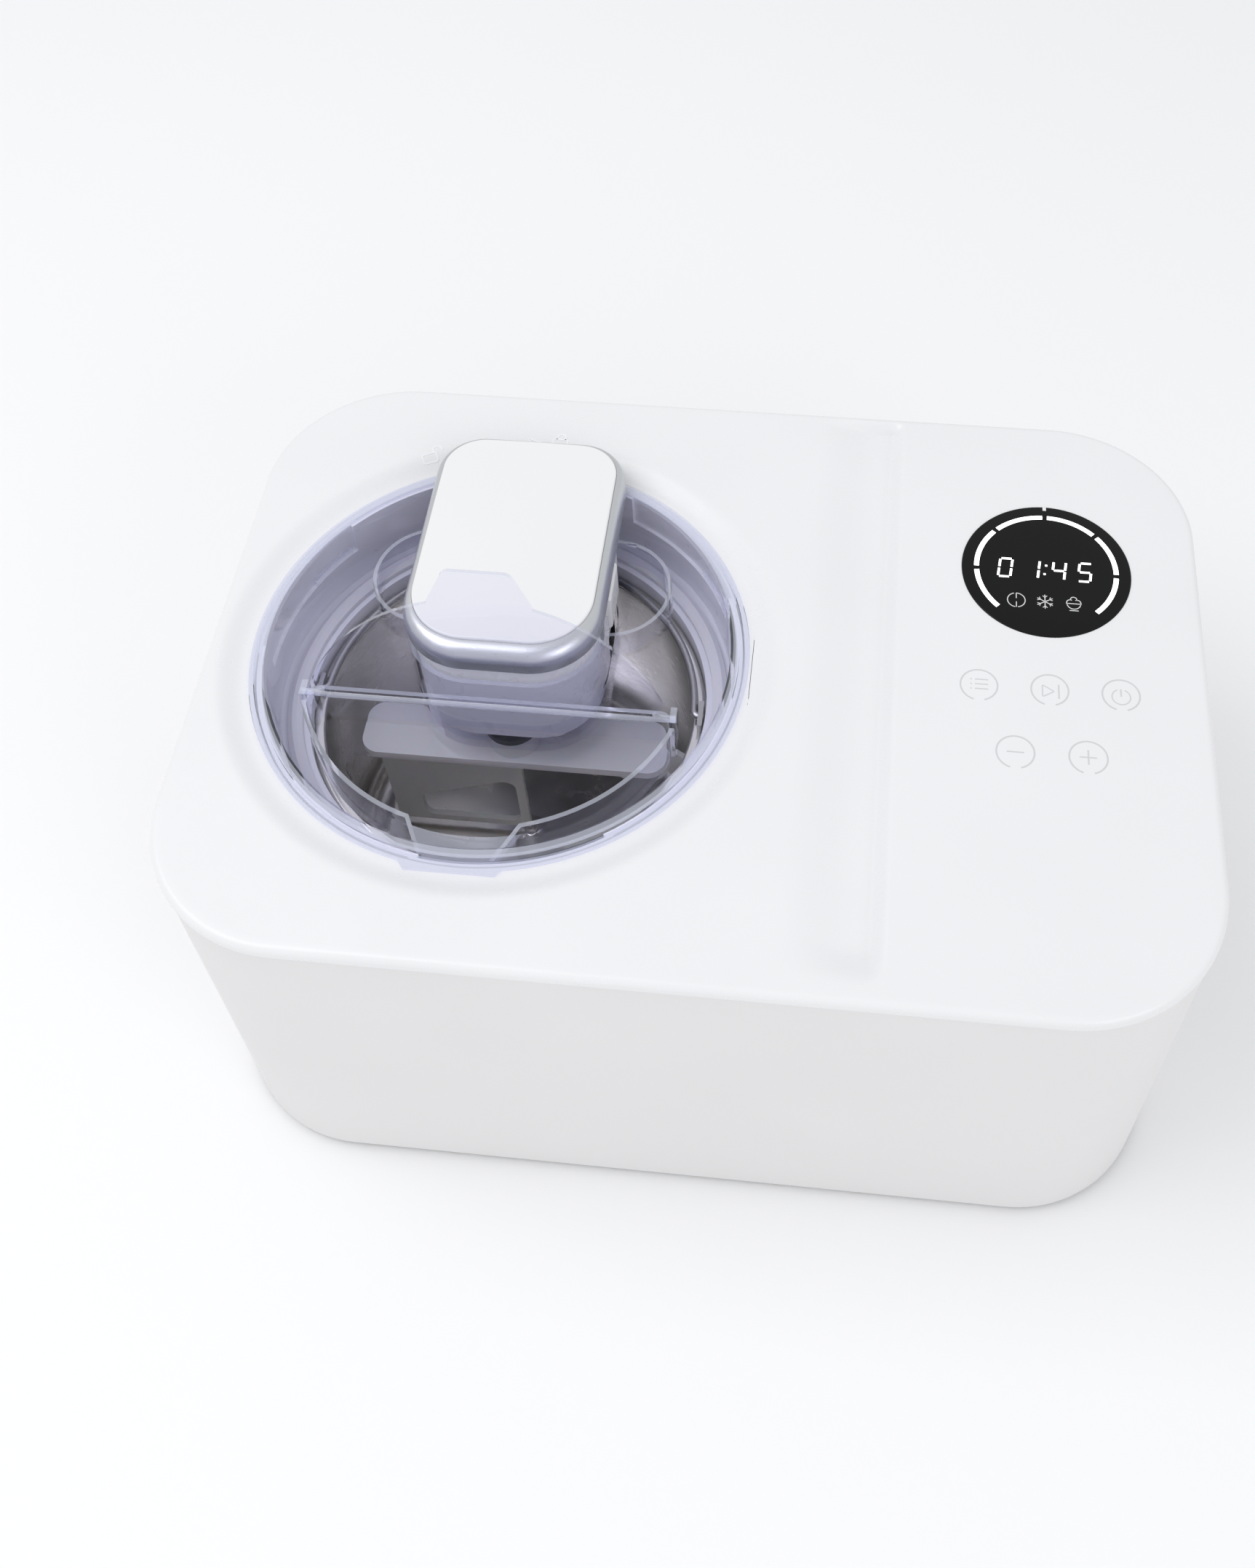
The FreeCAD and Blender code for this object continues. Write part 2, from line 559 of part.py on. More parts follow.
def filter_drier():
    x, y = 132.0, -78.0
    body = cyl(x, y, (30, 92), 9)
    body = body.makeFillet(6, [e for e in body.Edges if abs(e.BoundBox.ZMax - e.BoundBox.ZMin) < 0.01])
    return body.fuse(cyl(x, y, (22, 100), 2.5)).removeSplitter()


def discharge_tube():
    z = BASE_Z[1] + 90
    x, y = COMP_X + COMP_R, COMP_Y + 14
    return pipe([(x - 1.4, y, z - 20), (x + 11, y, z - 20), (x + 11, 66, z - 20), (COND_X[0] + 6, 66, z - 20),
                 (COND_X[0] + 6, 66, z + 20)], TUBE_R, 5.0)


def suction_tube():
    z = 58 + 12 * (COIL_TURNS - 1)
    x = LID_X + WELL_IN_R + WELL_WALL + TUBE_R + FOAM_T + 6.4
    at_shell = COMP_X + 4
    return pipe([(x, 0, z), (x + 11, 0, z), (x + 11, -52, z), (at_shell, -52, z), (at_shell, -52, z + 12)],
                TUBE_R, 5.0)


def power_board():
    board = box((48, 124), (-122, -96), (BASE_Z[1] + 6, BASE_Z[1] + 7.6))
    posts = [cyl(px, py, (BASE_Z[1] + 0.1, BASE_Z[1] + 6), 3) for px in (52, 120) for py in (-118, -100)]
    fitted = [box((56, 78), (-118, -100), (BASE_Z[1] + 7.6, BASE_Z[1] + 29)),
              cyl(90, -109, (BASE_Z[1] + 7.6, BASE_Z[1] + 32), 8),
              box((102, 118), (-116, -102), (BASE_Z[1] + 7.6, BASE_Z[1] + 22))]
    return board.multiFuse(posts + fitted)


def cord_inlet():
    """Round grommet in the back wall where the supply lead would pass."""
    y0, y1 = BODY_D / 2 - CASE_WALL, BODY_D / 2
    body = rod_y(INLET_X, (y0, y1), INLET_Z, INLET_R - 0.2)
    flange_in = rod_y(INLET_X, (y0 - 4, y0 - 0.2), INLET_Z, INLET_R + 2.5)
    neck = rod_y(INLET_X, (y0 - 0.3, y0 + 0.1), INLET_Z, INLET_R - 0.2)
    return body.multiFuse([flange_in, neck]).cut(rod_y(INLET_X, (y0 - 6, y1 + 2), INLET_Z, 3.6))


# ---- control panel ----
def key_places():
    row1 = [(PANEL_X + k * KEY_PITCH, KEY_ROW_Y[0]) for k in (-1, 0, 1)]
    row2 = [(PANEL_X + k * KEY_PITCH, KEY_ROW_Y[1]) for k in (-0.5, 0.5)]
    return row1 + row2


BOARD_Z = (COVER_UNDER - 10.0, COVER_UNDER - 8.4)


def control_board():
    board = slab((PANEL_X - 46, PANEL_X + 42), (-44, 94), BOARD_Z, 6)
    chips = [box((PANEL_X - 40, PANEL_X - 28), (-30, -18), (BOARD_Z[0] - 2, BOARD_Z[0])),
             box((PANEL_X + 20, PANEL_X + 36), (10, 22), (BOARD_Z[0] - 5, BOARD_Z[0]))]
    return board.multiFuse(chips)


def board_posts():
    spots = [(PANEL_X - 40, -38), (PANEL_X + 36, -38), (PANEL_X - 40, 88), (PANEL_X + 36, 88)]
    z = (BOARD_Z[1] + 0.05, COVER_UNDER - 0.05)
    return Part.makeCompound([ring(px, py, z, 3.4, 1.2) for px, py in spots])


def display_module():
    """Light box with the figures and the ring of bars, under the glass."""
    z = (BOARD_Z[1] + 0.1, DECK_Z - DISPLAY_T - 0.2)
    return cyl(PANEL_X, DISPLAY_Y, z, DISPLAY_R - 5)


def display_glass():
    z = (DECK_Z - DISPLAY_T + 0.4, DECK_Z + 0.4)
    disc = fillet_at(cyl(PANEL_X, DISPLAY_Y, z, DISPLAY_R), z[1], 0.4)
    return disc


def touch_springs():
    """Sensor springs that press up against the deck behind each printed key."""
    out = []
    for px, py in key_places():
        z0, z1 = BOARD_Z[1] + 0.1, COVER_UNDER - 0.1
        out.append(ring(px, py, (z0, z1), 4.0, 2.8).fuse(cyl(px, py, (z1 - 0.8, z1), KEY_R - 1)))
    return Part.makeCompound(out)


# ---- bowl ----
def bowl():
    z0, z1 = BOWL_FLOOR_Z, BOWL_RIM_Z
    out = fillet_at(cyl(LID_X, 0, (z0, z1), BOWL_R), z0, BOWL_CORNER_R)
    hole = fillet_at(cyl(LID_X, 0, (z0 + BOWL_WALL, z1 + 5), BOWL_R - BOWL_WALL), z0 + BOWL_WALL,
                     BOWL_CORNER_R - BOWL_WALL)
    rim = ring(LID_X, 0, (z1 - 2.4, z1), BOWL_RIM_R, BOWL_R - BOWL_WALL)
    rim = rim.makeFillet(1.0, [e for e in rim.Edges if e.BoundBox.XLength > 2 * BOWL_RIM_R - 0.1])
    cone = Part.makeCone(2.2, 1.4, 3.2, V(LID_X, 0, z0 + BOWL_WALL - 0.2))
    return out.cut(hole).fuse(rim).fuse(cone).removeSplitter()


BAIL_Z = BOWL_RIM_Z + 3.0
BAIL_END = 4.2          # how far the hoop's ends turn out
LUG_X = 79.4


def bail_lugs():
    """Pierced lugs fixed on the rim, one each side, that carry the bail."""
    lug = box((LID_X + LUG_X - 1.0, LID_X + LUG_X + 1.0), (-6, 6), (BOWL_RIM_Z + 0.05, BAIL_Z + 2.4))
    lug = lug.cut(rod_x((LID_X + LUG_X - 3, LID_X + LUG_X + 3), 0, BAIL_Z, BAIL_WIRE_R + RUN_FIT))
    return Part.makeCompound([lug, mirrored(lug, LID_X)])


def bail_handle():
    """Wire hoop lying back round the rim, its ends bent out through the lugs."""
    hoop = Part.makeTorus(BAIL_R, BAIL_WIRE_R, V(LID_X, 0, BAIL_Z), UP, -180, 180, 180)
    half = BAIL_END / 2
    ends = [rod_x((LID_X + s * (BAIL_R + half) - half, LID_X + s * (BAIL_R + half) + half), 0, BAIL_Z, BAIL_WIRE_R)
            for s in (-1, 1)]
    balls = [Part.makeSphere(BAIL_WIRE_R, V(LID_X + s * BAIL_R, 0, BAIL_Z)) for s in (-1, 1)]
    return hoop.multiFuse(ends + balls).removeSplitter()


# ---- lid ----
def lid_seal():
    return turned([(84, COLLAR_FLOOR_Z + FIT), (90, COLLAR_FLOOR_Z + FIT), (90, LID_DECK_Z - LID_WALL - 1.8),
                   (88, LID_DECK_Z - LID_WALL - FIT), (86, LID_DECK_Z - LID_WALL - FIT),
                   (84, LID_DECK_Z - LID_WALL - 1.8)], LID_X, 0)


def chute_block(r, back_y, z, corner):
    """D-shaped block: a straight back edge and a curved front about the chute's own centre."""
    cx = LID_X + CHUTE_DX
    reach = math.sqrt(r * r - back_y * back_y)
    left, right = V(cx - reach, back_y, z[0]), V(cx + reach, back_y, z[0])
    edges = [Part.Arc(left, V(cx, -r, z[0]), right).toShape(), Part.makeLine(right, left)]
    block = Part.Face(Part.Wire(edges)).extrude(V(0, 0, z[1] - z[0]))
    uprights = [e for e in block.Edges if e.BoundBox.ZLength > z[1] - z[0] - 0.01]
    return block.makeFillet(corner, uprights)


def tab_points(grow):
    """Trapezium of the flap's finger tab, growing narrower towards the lid's rim."""
    cx = LID_X + CHUTE_DX
    (w0, w1), (r0, r1) = TAB_HALF_W, TAB_R
    return [(cx - w0 - grow, -r0 + 4), (cx - w0 - grow, -r0), (cx - w1 - grow, -r1), (cx + w1 + grow, -r1),
            (cx + w0 + grow, -r0), (cx + w0 + grow, -r0 + 4)]


def socket_block(grow, z):
    x, y = grown((LID_X - LOWER_HALF_W, LID_X + LOWER_HALF_W), (LOWER_Y[0], LOWER_Y[1]), grow)
    return slab(x, y, z, LOWER_CORNER_R[0] + grow, LOWER_CORNER_R[1] + grow)


def lid():
    """Clear moulded lid: rim, wall, deck, chute, socket for the motor unit and finger pockets."""
    t = LID_WALL
    r_in = LID_IN_R
    deck = (LID_DECK_Z - t, LID_DECK_Z)
    shell = turned([(0, deck[0]), (r_in + t, deck[0]), (r_in + t, LID_RIM_Z - t), (LID_RIM_R - 1.8, LID_RIM_Z - t),
                    (LID_RIM_R - 1.8, FLANGE_Z), (LID_FLANGE_R, FLANGE_Z), (LID_FLANGE_R, FLANGE_Z + LID_FLANGE_T),
                    (LID_RIM_R, FLANGE_Z + LID_FLANGE_T), (LID_RIM_R, LID_RIM_Z - 1.0),
                    (LID_RIM_R - 1.0, LID_RIM_Z), (r_in + 1.0, LID_RIM_Z), (r_in, LID_RIM_Z - 1.0),
                    (r_in, deck[1]), (0, deck[1])], LID_X, 0)
    chute = chute_block(CHUTE_R + CHUTE_WALL, CHUTE_BACK_Y + CHUTE_WALL, (deck[0], CHUTE_TOP_Z), 7.0)
    tab_walls = prism(tab_points(2.0 + CHUTE_WALL), (deck[0], CHUTE_TOP_Z))
    socket = socket_block(SOCKET_GAP + SOCKET_WALL, (SOCKET_FLOOR_Z - SOCKET_WALL, SOCKET_TOP_Z))
    pocket = cyl(LID_X + LOWER_HALF_W, POCKET_Y, (deck[0], POCKET_TOP_Z), POCKET_R + POCKET_WALL)
    pockets = [pocket, mirrored(pocket, LID_X)]
    inside = cyl(LID_X, 0, (0, 300), r_in + 0.5)
    blocks = [b.common(inside) for b in [chute, tab_walls, socket] + pockets]
    lugs = []
    for k in range(LUG_COUNT):
        sector = Part.makeCylinder(LUG_R, LUG_H, V(LID_X, 0, LUG_Z), UP, LUG_DEG)
        sector = sector.cut(cyl(LID_X, 0, (0, 300), r_in + t - 0.5))
        lugs.append(about(sector, LID_X, 0, 30 + 360 / LUG_COUNT * k - LUG_DEG / 2))
    grip = prism([(LID_X + CHUTE_DX - 22, -LID_RIM_R + 3), (LID_X + CHUTE_DX - 17, -LID_FLANGE_R - 1.2),
                  (LID_X + CHUTE_DX + 17, -LID_FLANGE_R - 1.2), (LID_X + CHUTE_DX + 22, -LID_RIM_R + 3)],
                 (FLANGE_Z, FLANGE_Z + LID_FLANGE_T))
    grip = grip.cut(cyl(LID_X, 0, (0, 300), LID_RIM_R - 1.5))
    shell = shell.multiFuse(blocks + lugs + [grip])
    holes = [chute_block(CHUTE_R, CHUTE_BACK_Y, (deck[1], CHUTE_TOP_Z + 1), 6.0),
             chute_block(CHUTE_MOUTH_R, CHUTE_MOUTH_Y, (deck[0] - 1, deck[1] + 1), 5.0),
             prism(tab_points(2.0), (CHUTE_TOP_Z - 8, CHUTE_TOP_Z + 1)).common(cyl(LID_X, 0, (0, 300), r_in)),
             socket_block(SOCKET_GAP, (SOCKET_FLOOR_Z, SOCKET_TOP_Z + 10)),
             lower_slab(SOCKET_GAP, (LOWER_Z[1] - SOCKET_GAP, SOCKET_TOP_Z + 10))]
    hollow = cyl(LID_X + LOWER_HALF_W, POCKET_Y, (deck[1], POCKET_TOP_Z + 1), POCKET_R)
    y_pocket = (POCKET_Y - POCKET_R + 1, POCKET_Y + POCKET_R)
    hollow = hollow.fuse(box((LID_X + 20, LID_X + LOWER_HALF_W + 8), y_pocket,
                             (POCKET_TOP_Z - 1, SOCKET_TOP_Z + 5)))
    hollow = hollow.common(cyl(LID_X, 0, (0, 300), r_in))
    holes += [hollow, mirrored(hollow, LID_X)]
    holes.append(cyl(LID_X, 0, (SOCKET_FLOOR_Z - 5, SOCKET_FLOOR_Z + 1), HUB_R + 2.5))
    pin_x = CHUTE_HALF_W + CHUTE_WALL + 2.0
    holes.append(rod_x((LID_X + CHUTE_DX - pin_x, LID_X + CHUTE_DX + pin_x), HINGE_Y, HINGE_Z,
                       HINGE_PIN_R + RUN_FIT))
    contact = box((LID_X - 9.3, LID_X + 9.3), (LOWER_Y[2] + 0.4, COLLAR_IN_R + 1), (165.4, 174.6))
    shell = shell.cut(Part.makeCompound(holes + [contact]))
    return shell.fuse(flap_bearings()).removeSplitter()


def flap_bearings():
    """Two upright ears on the chute's back corners that hold the flap's pins."""
    x = CHUTE_HALF_W + 0.3
    ear = box((x, x + 2.6), (HINGE_Y - 3.6, HINGE_Y + 3.4), (CHUTE_TOP_Z - 14, HINGE_Z + 3.2))
    ear.translate(V(LID_X + CHUTE_DX, 0, 0))
    ears = ear.fuse(mirrored(ear, LID_X + CHUTE_DX))
    return ears.cut(rod_x((LID_X - 90, LID_X + 90), HINGE_Y, HINGE_Z, HINGE_PIN_R + RUN_FIT))


def lid_contacts():
    """Strips moulded in the lid's wall that pass the supply on to the motor unit."""
    y = (LOWER_Y[2] + 0.5, COLLAR_IN_R - 0.7)
    block = box((LID_X - 9, LID_X + 9), (LID_IN_R - 2.5, LID_IN_R + LID_WALL - 0.4), (165.7, 174.3))
    strips = [box((LID_X + dx - 2, LID_X + dx + 2), y, (168.0, 172.0)) for dx in (-6, 6)]
    return block.multiFuse(strips).removeSplitter()


def paddle_bushing():
    z0 = SOCKET_FLOOR_Z - SOCKET_WALL
    body = ring(LID_X, 0, (z0 - 3, SOCKET_FLOOR_Z), HUB_R + 2.5 - 0.05, HUB_R + RUN_FIT)
    flange = ring(LID_X, 0, (z0 - 3, z0 - 0.05), HUB_R + 5, HUB_R + RUN_FIT)
    return body.fuse(flange).removeSplitter()


def flap():
    """Clear flap over the chute, standing open. Built closed, then swung up about its pins."""
    cx = LID_X + CHUTE_DX
    z = (HINGE_Z - FLAP_T / 2, HINGE_Z + FLAP_T / 2)
    plate = chute_block(CHUTE_R - FLAP_GAP, HINGE_Y - 2.2, z, 5.0)
    tab = prism(tab_points(1.2), z)
    tab = tab.cut(box((cx - 30, cx + 30), (-LID_IN_R, FLAP_TAB_Y), (z[0] - 1, z[1] + 1)))
    tips = [e for e in tab.Edges if e.BoundBox.ZLength > FLAP_T / 2 and e.BoundBox.YMax < FLAP_TAB_Y + 0.01]
    tab = tab.makeFillet(FLAP_TAB_R, tips)
    bar = rod_x((cx - FLAP_BAR_HALF_W, cx + FLAP_BAR_HALF_W), HINGE_Y, HINGE_Z, 1.8)
    pin_reach = CHUTE_HALF_W + 2.4
    pins = rod_x((cx - pin_reach, cx + pin_reach), HINGE_Y, HINGE_Z, HINGE_PIN_R)
    web = box((cx - FLAP_BAR_HALF_W, cx + FLAP_BAR_HALF_W), (HINGE_Y - 4, HINGE_Y), z)
    out = plate.multiFuse([tab, bar, pins, web]).removeSplitter()
    out.rotate(V(0, HINGE_Y, HINGE_Z), V(1, 0, 0), -FLAP_OPEN_DEG)
    return out


# ---- paddle ----
def paddle():
    """Scraper: hub over a broad shelf, a windowed blade on the left and a plain leg on the right."""
    r = BOWL_R - BOWL_WALL - PADDLE_GAP
    z_low = BOWL_FLOOR_Z + BOWL_WALL + PADDLE_LIFT
    half_x, half_y = SHELF_HALF
    under, root = SHELF_Z - SHELF_T, SHELF_Z - SHELF_T / 2
    shelf = slab((LID_X - half_x, LID_X + half_x), (-half_y, half_y), (under, SHELF_Z), SHELF_CORNER_R)
    left, right = BLADE_X
    blade = plate_xz([(left, root), (left + 2, z_low), (right, z_low), (right, root)], BLADE_T)
    sill, jamb = z_low + BLADE_STRIP, right - BLADE_STRIP
    window = plate_xz([(WINDOW_X, WINDOW_TOP_Z[0]), (WINDOW_X, sill), (jamb, sill), (jamb, WINDOW_TOP_Z[1])],
                      BLADE_T + 4)
    window = window.makeFillet(WINDOW_R, [e for e in window.Edges if e.BoundBox.YLength > BLADE_T + 3])
    inner, rib = r - LEG_W, under - LEG_W
    leg = plate_xz([(0, root), (0, rib), (inner - 4, rib), (inner, rib - 6), (inner, z_low + 6),
                    (inner + 3, z_low), (r, z_low + BOWL_CORNER_R), (r, under - 3), (r - 5, root)], BLADE_T)
    gusset = plate_xz([(-20, root), (-20, SHELF_Z), (-9, SHELF_Z + 9), (9, SHELF_Z + 9), (20, SHELF_Z),
                       (20, root)], BLADE_T)
    hub_z = SOCKET_FLOOR_Z + 1.4
    hub = cyl(LID_X, 0, (under - LEG_W, hub_z), HUB_R)
    collar = ring(LID_X, 0, (root, SOCKET_FLOOR_Z - SOCKET_WALL - 3.6), HUB_R + 4, HUB_R - 1)
    body = shelf.multiFuse([blade.cut(window), leg, gusset, hub, collar])
    return body.cut(hexagon(LID_X, 0, (hub_z - 12.5, hub_z + 1), HEX_AF + 2 * RUN_FIT + 0.1)).removeSplitter()


def plate_xz(points, t):
    pts = [V(LID_X + px, -t / 2, pz) for px, pz in points]
    return Part.Face(Part.makePolygon(pts + pts[:1])).extrude(V(0, t, 0))


# ---- motor unit ----
UNIT_X = (LID_X - UNIT_HALF_W, LID_X + UNIT_HALF_W)
UNIT_RF, UNIT_RB = UNIT_CORNER_R
FRAME_TOP_Z = UNIT_BASE_Z + UNIT_FRAME_H


def unit_slab(grow, z):
    x, y = grown(UNIT_X, UNIT_Y, grow)
    return slab(x, y, z, UNIT_RF + grow, UNIT_RB + grow)


def motor_frame():
    """Satin band with a broad rounded shoulder round the white panel."""
    body = fillet_at(unit_slab(0, (UNIT_BASE_Z, FRAME_TOP_Z)), FRAME_TOP_Z, UNIT_EDGE_R)
    roof_z = FRAME_TOP_Z - 2.0
    cavity = fillet_at(unit_slab(-2.0, (UNIT_BASE_Z + 1.6, roof_z)), roof_z, UNIT_EDGE_R - 2.2)
    floor_hole = lower_slab(FIT, (UNIT_BASE_Z - 1, UNIT_BASE_Z + 3))
    top_hole = unit_slab(-PANEL_INSET, (FRAME_TOP_Z - 5, FRAME_TOP_Z + 5))
    return body.cut(cavity.multiFuse([floor_hole, top_hole])).removeSplitter()


def motor_top_panel():
    """Slightly domed white panel set in the frame."""
    inset = PANEL_INSET + 0.15
    dome_r = 620.0
    plate = unit_slab(-inset, (FRAME_TOP_Z - 1.9, UNIT_TOP_Z))
    dome = Part.makeSphere(dome_r, V(LID_X, sum(UNIT_Y) / 2, UNIT_TOP_Z - dome_r))
    tray = unit_slab(-inset + 2.6, (FRAME_TOP_Z - 5.6, FRAME_TOP_Z - 4.3))
    clips = [box((LID_X + s * 24 - 4, LID_X + s * 24 + 4), (y - 1, y + 1), (FRAME_TOP_Z - 7.5, FRAME_TOP_Z - 5.5))
             for s in (-1, 1) for y in (4.0, 82.0)]
    under = unit_slab(-inset - 1.0, (FRAME_TOP_Z - 4.5, FRAME_TOP_Z - 1.8))
    return plate.common(dome).multiFuse([tray, under] + clips).removeSplitter()


def lower_slab(grow, z):
    x, y = grown((LID_X - LOWER_HALF_W, LID_X + LOWER_HALF_W), (LOWER_Y[0], LOWER_Y[2]), grow)
    return slab(x, y, z, LOWER_CORNER_R[0] + grow, LOWER_CORNER_R[1] + grow)


UNIT_SCREWS = [(-17.0, 70.0), (17.0, 70.0)]


def motor_lower_case():
    """White lower case: a deep front part in the lid's socket and a shallow back part."""
    w = LOWER_WALL
    top = UNIT_BASE_Z + 1.4
    body = socket_block(0, (LOWER_Z[0], top)).fuse(lower_slab(0, (LOWER_Z[1], top)))
    room = socket_block(-w, (LOWER_Z[0] + 2.0, top + 1)).fuse(lower_slab(-w, (LOWER_Z[1] + w, top + 1)))
    body = body.cut(room)
    window = box((LID_X + LOWER_HALF_W - 4, LID_X + LOWER_HALF_W + 4), (LATCH_Y[0] - 0.4, LATCH_Y[1] + 0.4),
                 (LATCH_Z[0] - 0.4, LATCH_Z[1] + 0.4))
    pads = box((LID_X - 8.4, LID_X + 8.4), (LOWER_Y[2] - 4, LOWER_Y[2] + 2), (166.4, 173.6))
    holes = [cyl(LID_X + dx, y, (LOWER_Z[1] - 1, LOWER_Z[1] + 3), 1.45) for dx, y in UNIT_SCREWS]
    shaft_hole = cyl(LID_X, 0, (LOWER_Z[0] - 1, LOWER_Z[0] + 4), 7.0 + 0.1)
    holes += [window, mirrored(window, LID_X), pads, shaft_hole]
    return body.cut(Part.makeCompound(holes)).removeSplitter()


def gear_plate(z, shaft_holes):
    """Flat plate across the deep part of the lower case, with holes for shafts."""
    plate = socket_block(-LOWER_WALL - 0.3, z)
    holes = [cyl(LID_X, y, (z[0] - 1, z[1] + 1), r) for y, r in shaft_holes]
    return plate.cut(Part.makeCompound(holes))


def drive_motor():
    z = (GEAR_HIGH[1] + 3.2, UNIT_BASE_Z + 2.0)
    can = cyl(LID_X, PINION_Y, z, 19.5)
    can = can.makeFillet(1.5, [e for e in can.Edges if e.BoundBox.ZLength < 0.01])
    shaft = cyl(LID_X, PINION_Y, (GEAR_HIGH[0] - 0.4, z[0] + 1), 1.25)
    return can.fuse(shaft).removeSplitter()


def output_shaft():
    """Round shaft with a hexagonal tail that drives the paddle."""
    body = cyl(LID_X, 0, (LOWER_Z[0] - 0.3, GEAR_MID[1] - 0.3), SHAFT_R)
    tail = hexagon(LID_X, 0, (SOCKET_FLOOR_Z - 9.5, LOWER_Z[0] + 0.5), HEX_AF)
    return body.fuse(tail).removeSplitter()


def shaft_bearings():
    low = ring(LID_X, 0, (LOWER_Z[0] + 0.1, GEAR_LOW[0] - 0.4), 7.0, SHAFT_R + RUN_FIT)
    high = ring(LID_X, 0, (GEAR_MID[0], GEAR_MID[1] - 0.1), 6.5, SHAFT_R + RUN_FIT)
    return Part.makeCompound([low, high])


def idler_axle():
    return cyl(LID_X, IDLER_Y, (LOWER_Z[0] + 2.05, GEAR_HIGH[1] + 2.9), 1.5)


def idler_gear():
    small = gear(IDLER_T, LID_X, IDLER_Y, (GEAR_LOW[0], GEAR_HIGH[0] + 0.5), 0, 90 + 180 / IDLER_T)
    large = gear(WHEEL_T, LID_X, IDLER_Y, GEAR_HIGH, 0, 90)
    bore = cyl(LID_X, IDLER_Y, (GEAR_LOW[0] - 1, GEAR_HIGH[1] + 1), 1.5 + RUN_FIT)
    return small.fuse(large).cut(bore)


def output_gear():
    return gear(OUTPUT_T, LID_X, 0, GEAR_LOW, SHAFT_R, 90)


def motor_pinion():
    half_tooth = 180 / PINION_T if PINION_T % 2 == 0 else 0
    return gear(PINION_T, LID_X, PINION_Y, GEAR_HIGH, 1.25, 90 + half_tooth)


def latch(side):
    """Side button with its guide stem; it travels inwards against a spring."""
    x_out = LOWER_HALF_W + LATCH_PROUD
    button = box((x_out - LATCH_T, x_out), LATCH_Y, LATCH_Z)
    button = button.makeFillet(1.2, [e for e in button.Edges if e.BoundBox.XMin > x_out - 0.01])
    stem = rod_x((x_out - LATCH_T - 7, x_out - LATCH_T + 1), sum(LATCH_Y) / 2, sum(LATCH_Z) / 2, 1.8)
    out = button.fuse(stem).removeSplitter()
    out.translate(V(LID_X, 0, 0))
    return mirrored(out, LID_X) if side < 0 else out


def latch_spring(side):
    """Coil spring between the button and the motor's side, drawn as its sleeve."""
    x_out = LOWER_HALF_W + LATCH_PROUD - LATCH_T
    x = (23.0, x_out - 0.1)
    out = rod_x(x, sum(LATCH_Y) / 2, sum(LATCH_Z) / 2, 3.6)
    out = out.cut(rod_x((x[0] - 1, x[1] + 1), sum(LATCH_Y) / 2, sum(LATCH_Z) / 2, 2.7))
    out.translate(V(LID_X, 0, 0))
    return mirrored(out, LID_X) if side < 0 else out


def latch_guides():
    """Posts in the lower case that the latch stems slide in."""
    x = (20.4, 22.8)
    post = box(x, (36.0, 44.0), (GEAR_HIGH[1] + 3.2, 178.0))
    post = post.cut(rod_x((0, 40), sum(LATCH_Y) / 2, sum(LATCH_Z) / 2, 2.0))
    post.translate(V(LID_X, 0, 0))
    return Part.makeCompound([post, mirrored(post, LID_X)])


def motor_contacts():
    block = box((LID_X - 8, LID_X + 8), (LOWER_Y[2] - 6, LOWER_Y[2] - 0.3), (166.8, 173.2))
    strips = [box((LID_X + dx - 2, LID_X + dx + 2), (LOWER_Y[2] - 1, LOWER_Y[2] + 0.3), (168.0, 172.0))
              for dx in (-6, 6)]
    return block.multiFuse(strips).removeSplitter()


def unit_screws():
    z = LOWER_Z[1] - 0.05
    return Part.makeCompound([screw(LID_X + dx, y, z, r=1.3, length=9.0) for dx, y in UNIT_SCREWS])


NODES = [
    ("body_shell", body_shell), ("base_plate", base_plate), ("feet", feet), ("base_screws", base_screws),
    ("top_cover", top_cover), ("well_collar", well_collar), ("supply_contacts", supply_contacts),
    ("cooling_well", cooling_well), ("evaporator_coil", evaporator_coil), ("foam_jacket", foam_jacket),
    ("well_stand", well_stand), ("compressor", compressor), ("compressor_grommets", compressor_grommets),
    ("condenser", condenser), ("fan_shroud", fan_shroud), ("fan_motor", fan_motor), ("fan_blades", fan_blades),
    ("filter_drier", filter_drier), ("discharge_tube", discharge_tube), ("suction_tube", suction_tube),
    ("power_board", power_board), ("cord_inlet", cord_inlet), ("control_board", control_board),
    ("board_posts", board_posts), ("display_module", display_module), ("display_glass", display_glass),
    ("touch_springs", touch_springs), ("bowl", bowl), ("bail_lugs", bail_lugs), ("bail_handle", bail_handle),
    ("lid_seal", lid_seal), ("lid", lid), ("lid_contacts", lid_contacts), ("paddle_bushing", paddle_bushing),
    ("flap", flap), ("paddle", paddle), ("motor_frame", motor_frame), ("motor_top_panel", motor_top_panel),
    ("motor_lower_case", motor_lower_case),
    ("gear_plate_middle", lambda: gear_plate(GEAR_MID, [(0, 6.6), (IDLER_Y, 6.0)])),
    ("gear_plate_top", lambda: gear_plate(GEAR_TOP, [(IDLER_Y, 1.55), (PINION_Y, 3.0)])),
    ("drive_motor", drive_motor), ("output_shaft", output_shaft), ("output_gear", output_gear),
    ("shaft_bearings", shaft_bearings), ("idler_axle", idler_axle), ("idler_gear", idler_gear),
    ("motor_pinion", motor_pinion), ("latch_left", lambda: latch(-1)), ("latch_right", lambda: latch(1)),
    ("latch_spring_left", lambda: latch_spring(-1)), ("latch_spring_right", lambda: latch_spring(1)),
    ("latch_guides", latch_guides), ("motor_contacts", motor_contacts), ("unit_screws", unit_screws),
]

for node, make in NODES:
    save(make(), node)
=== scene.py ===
"""Self-cooling ice cream maker: finishes, moulded surfaces and panel figures round the part's frame."""

import math

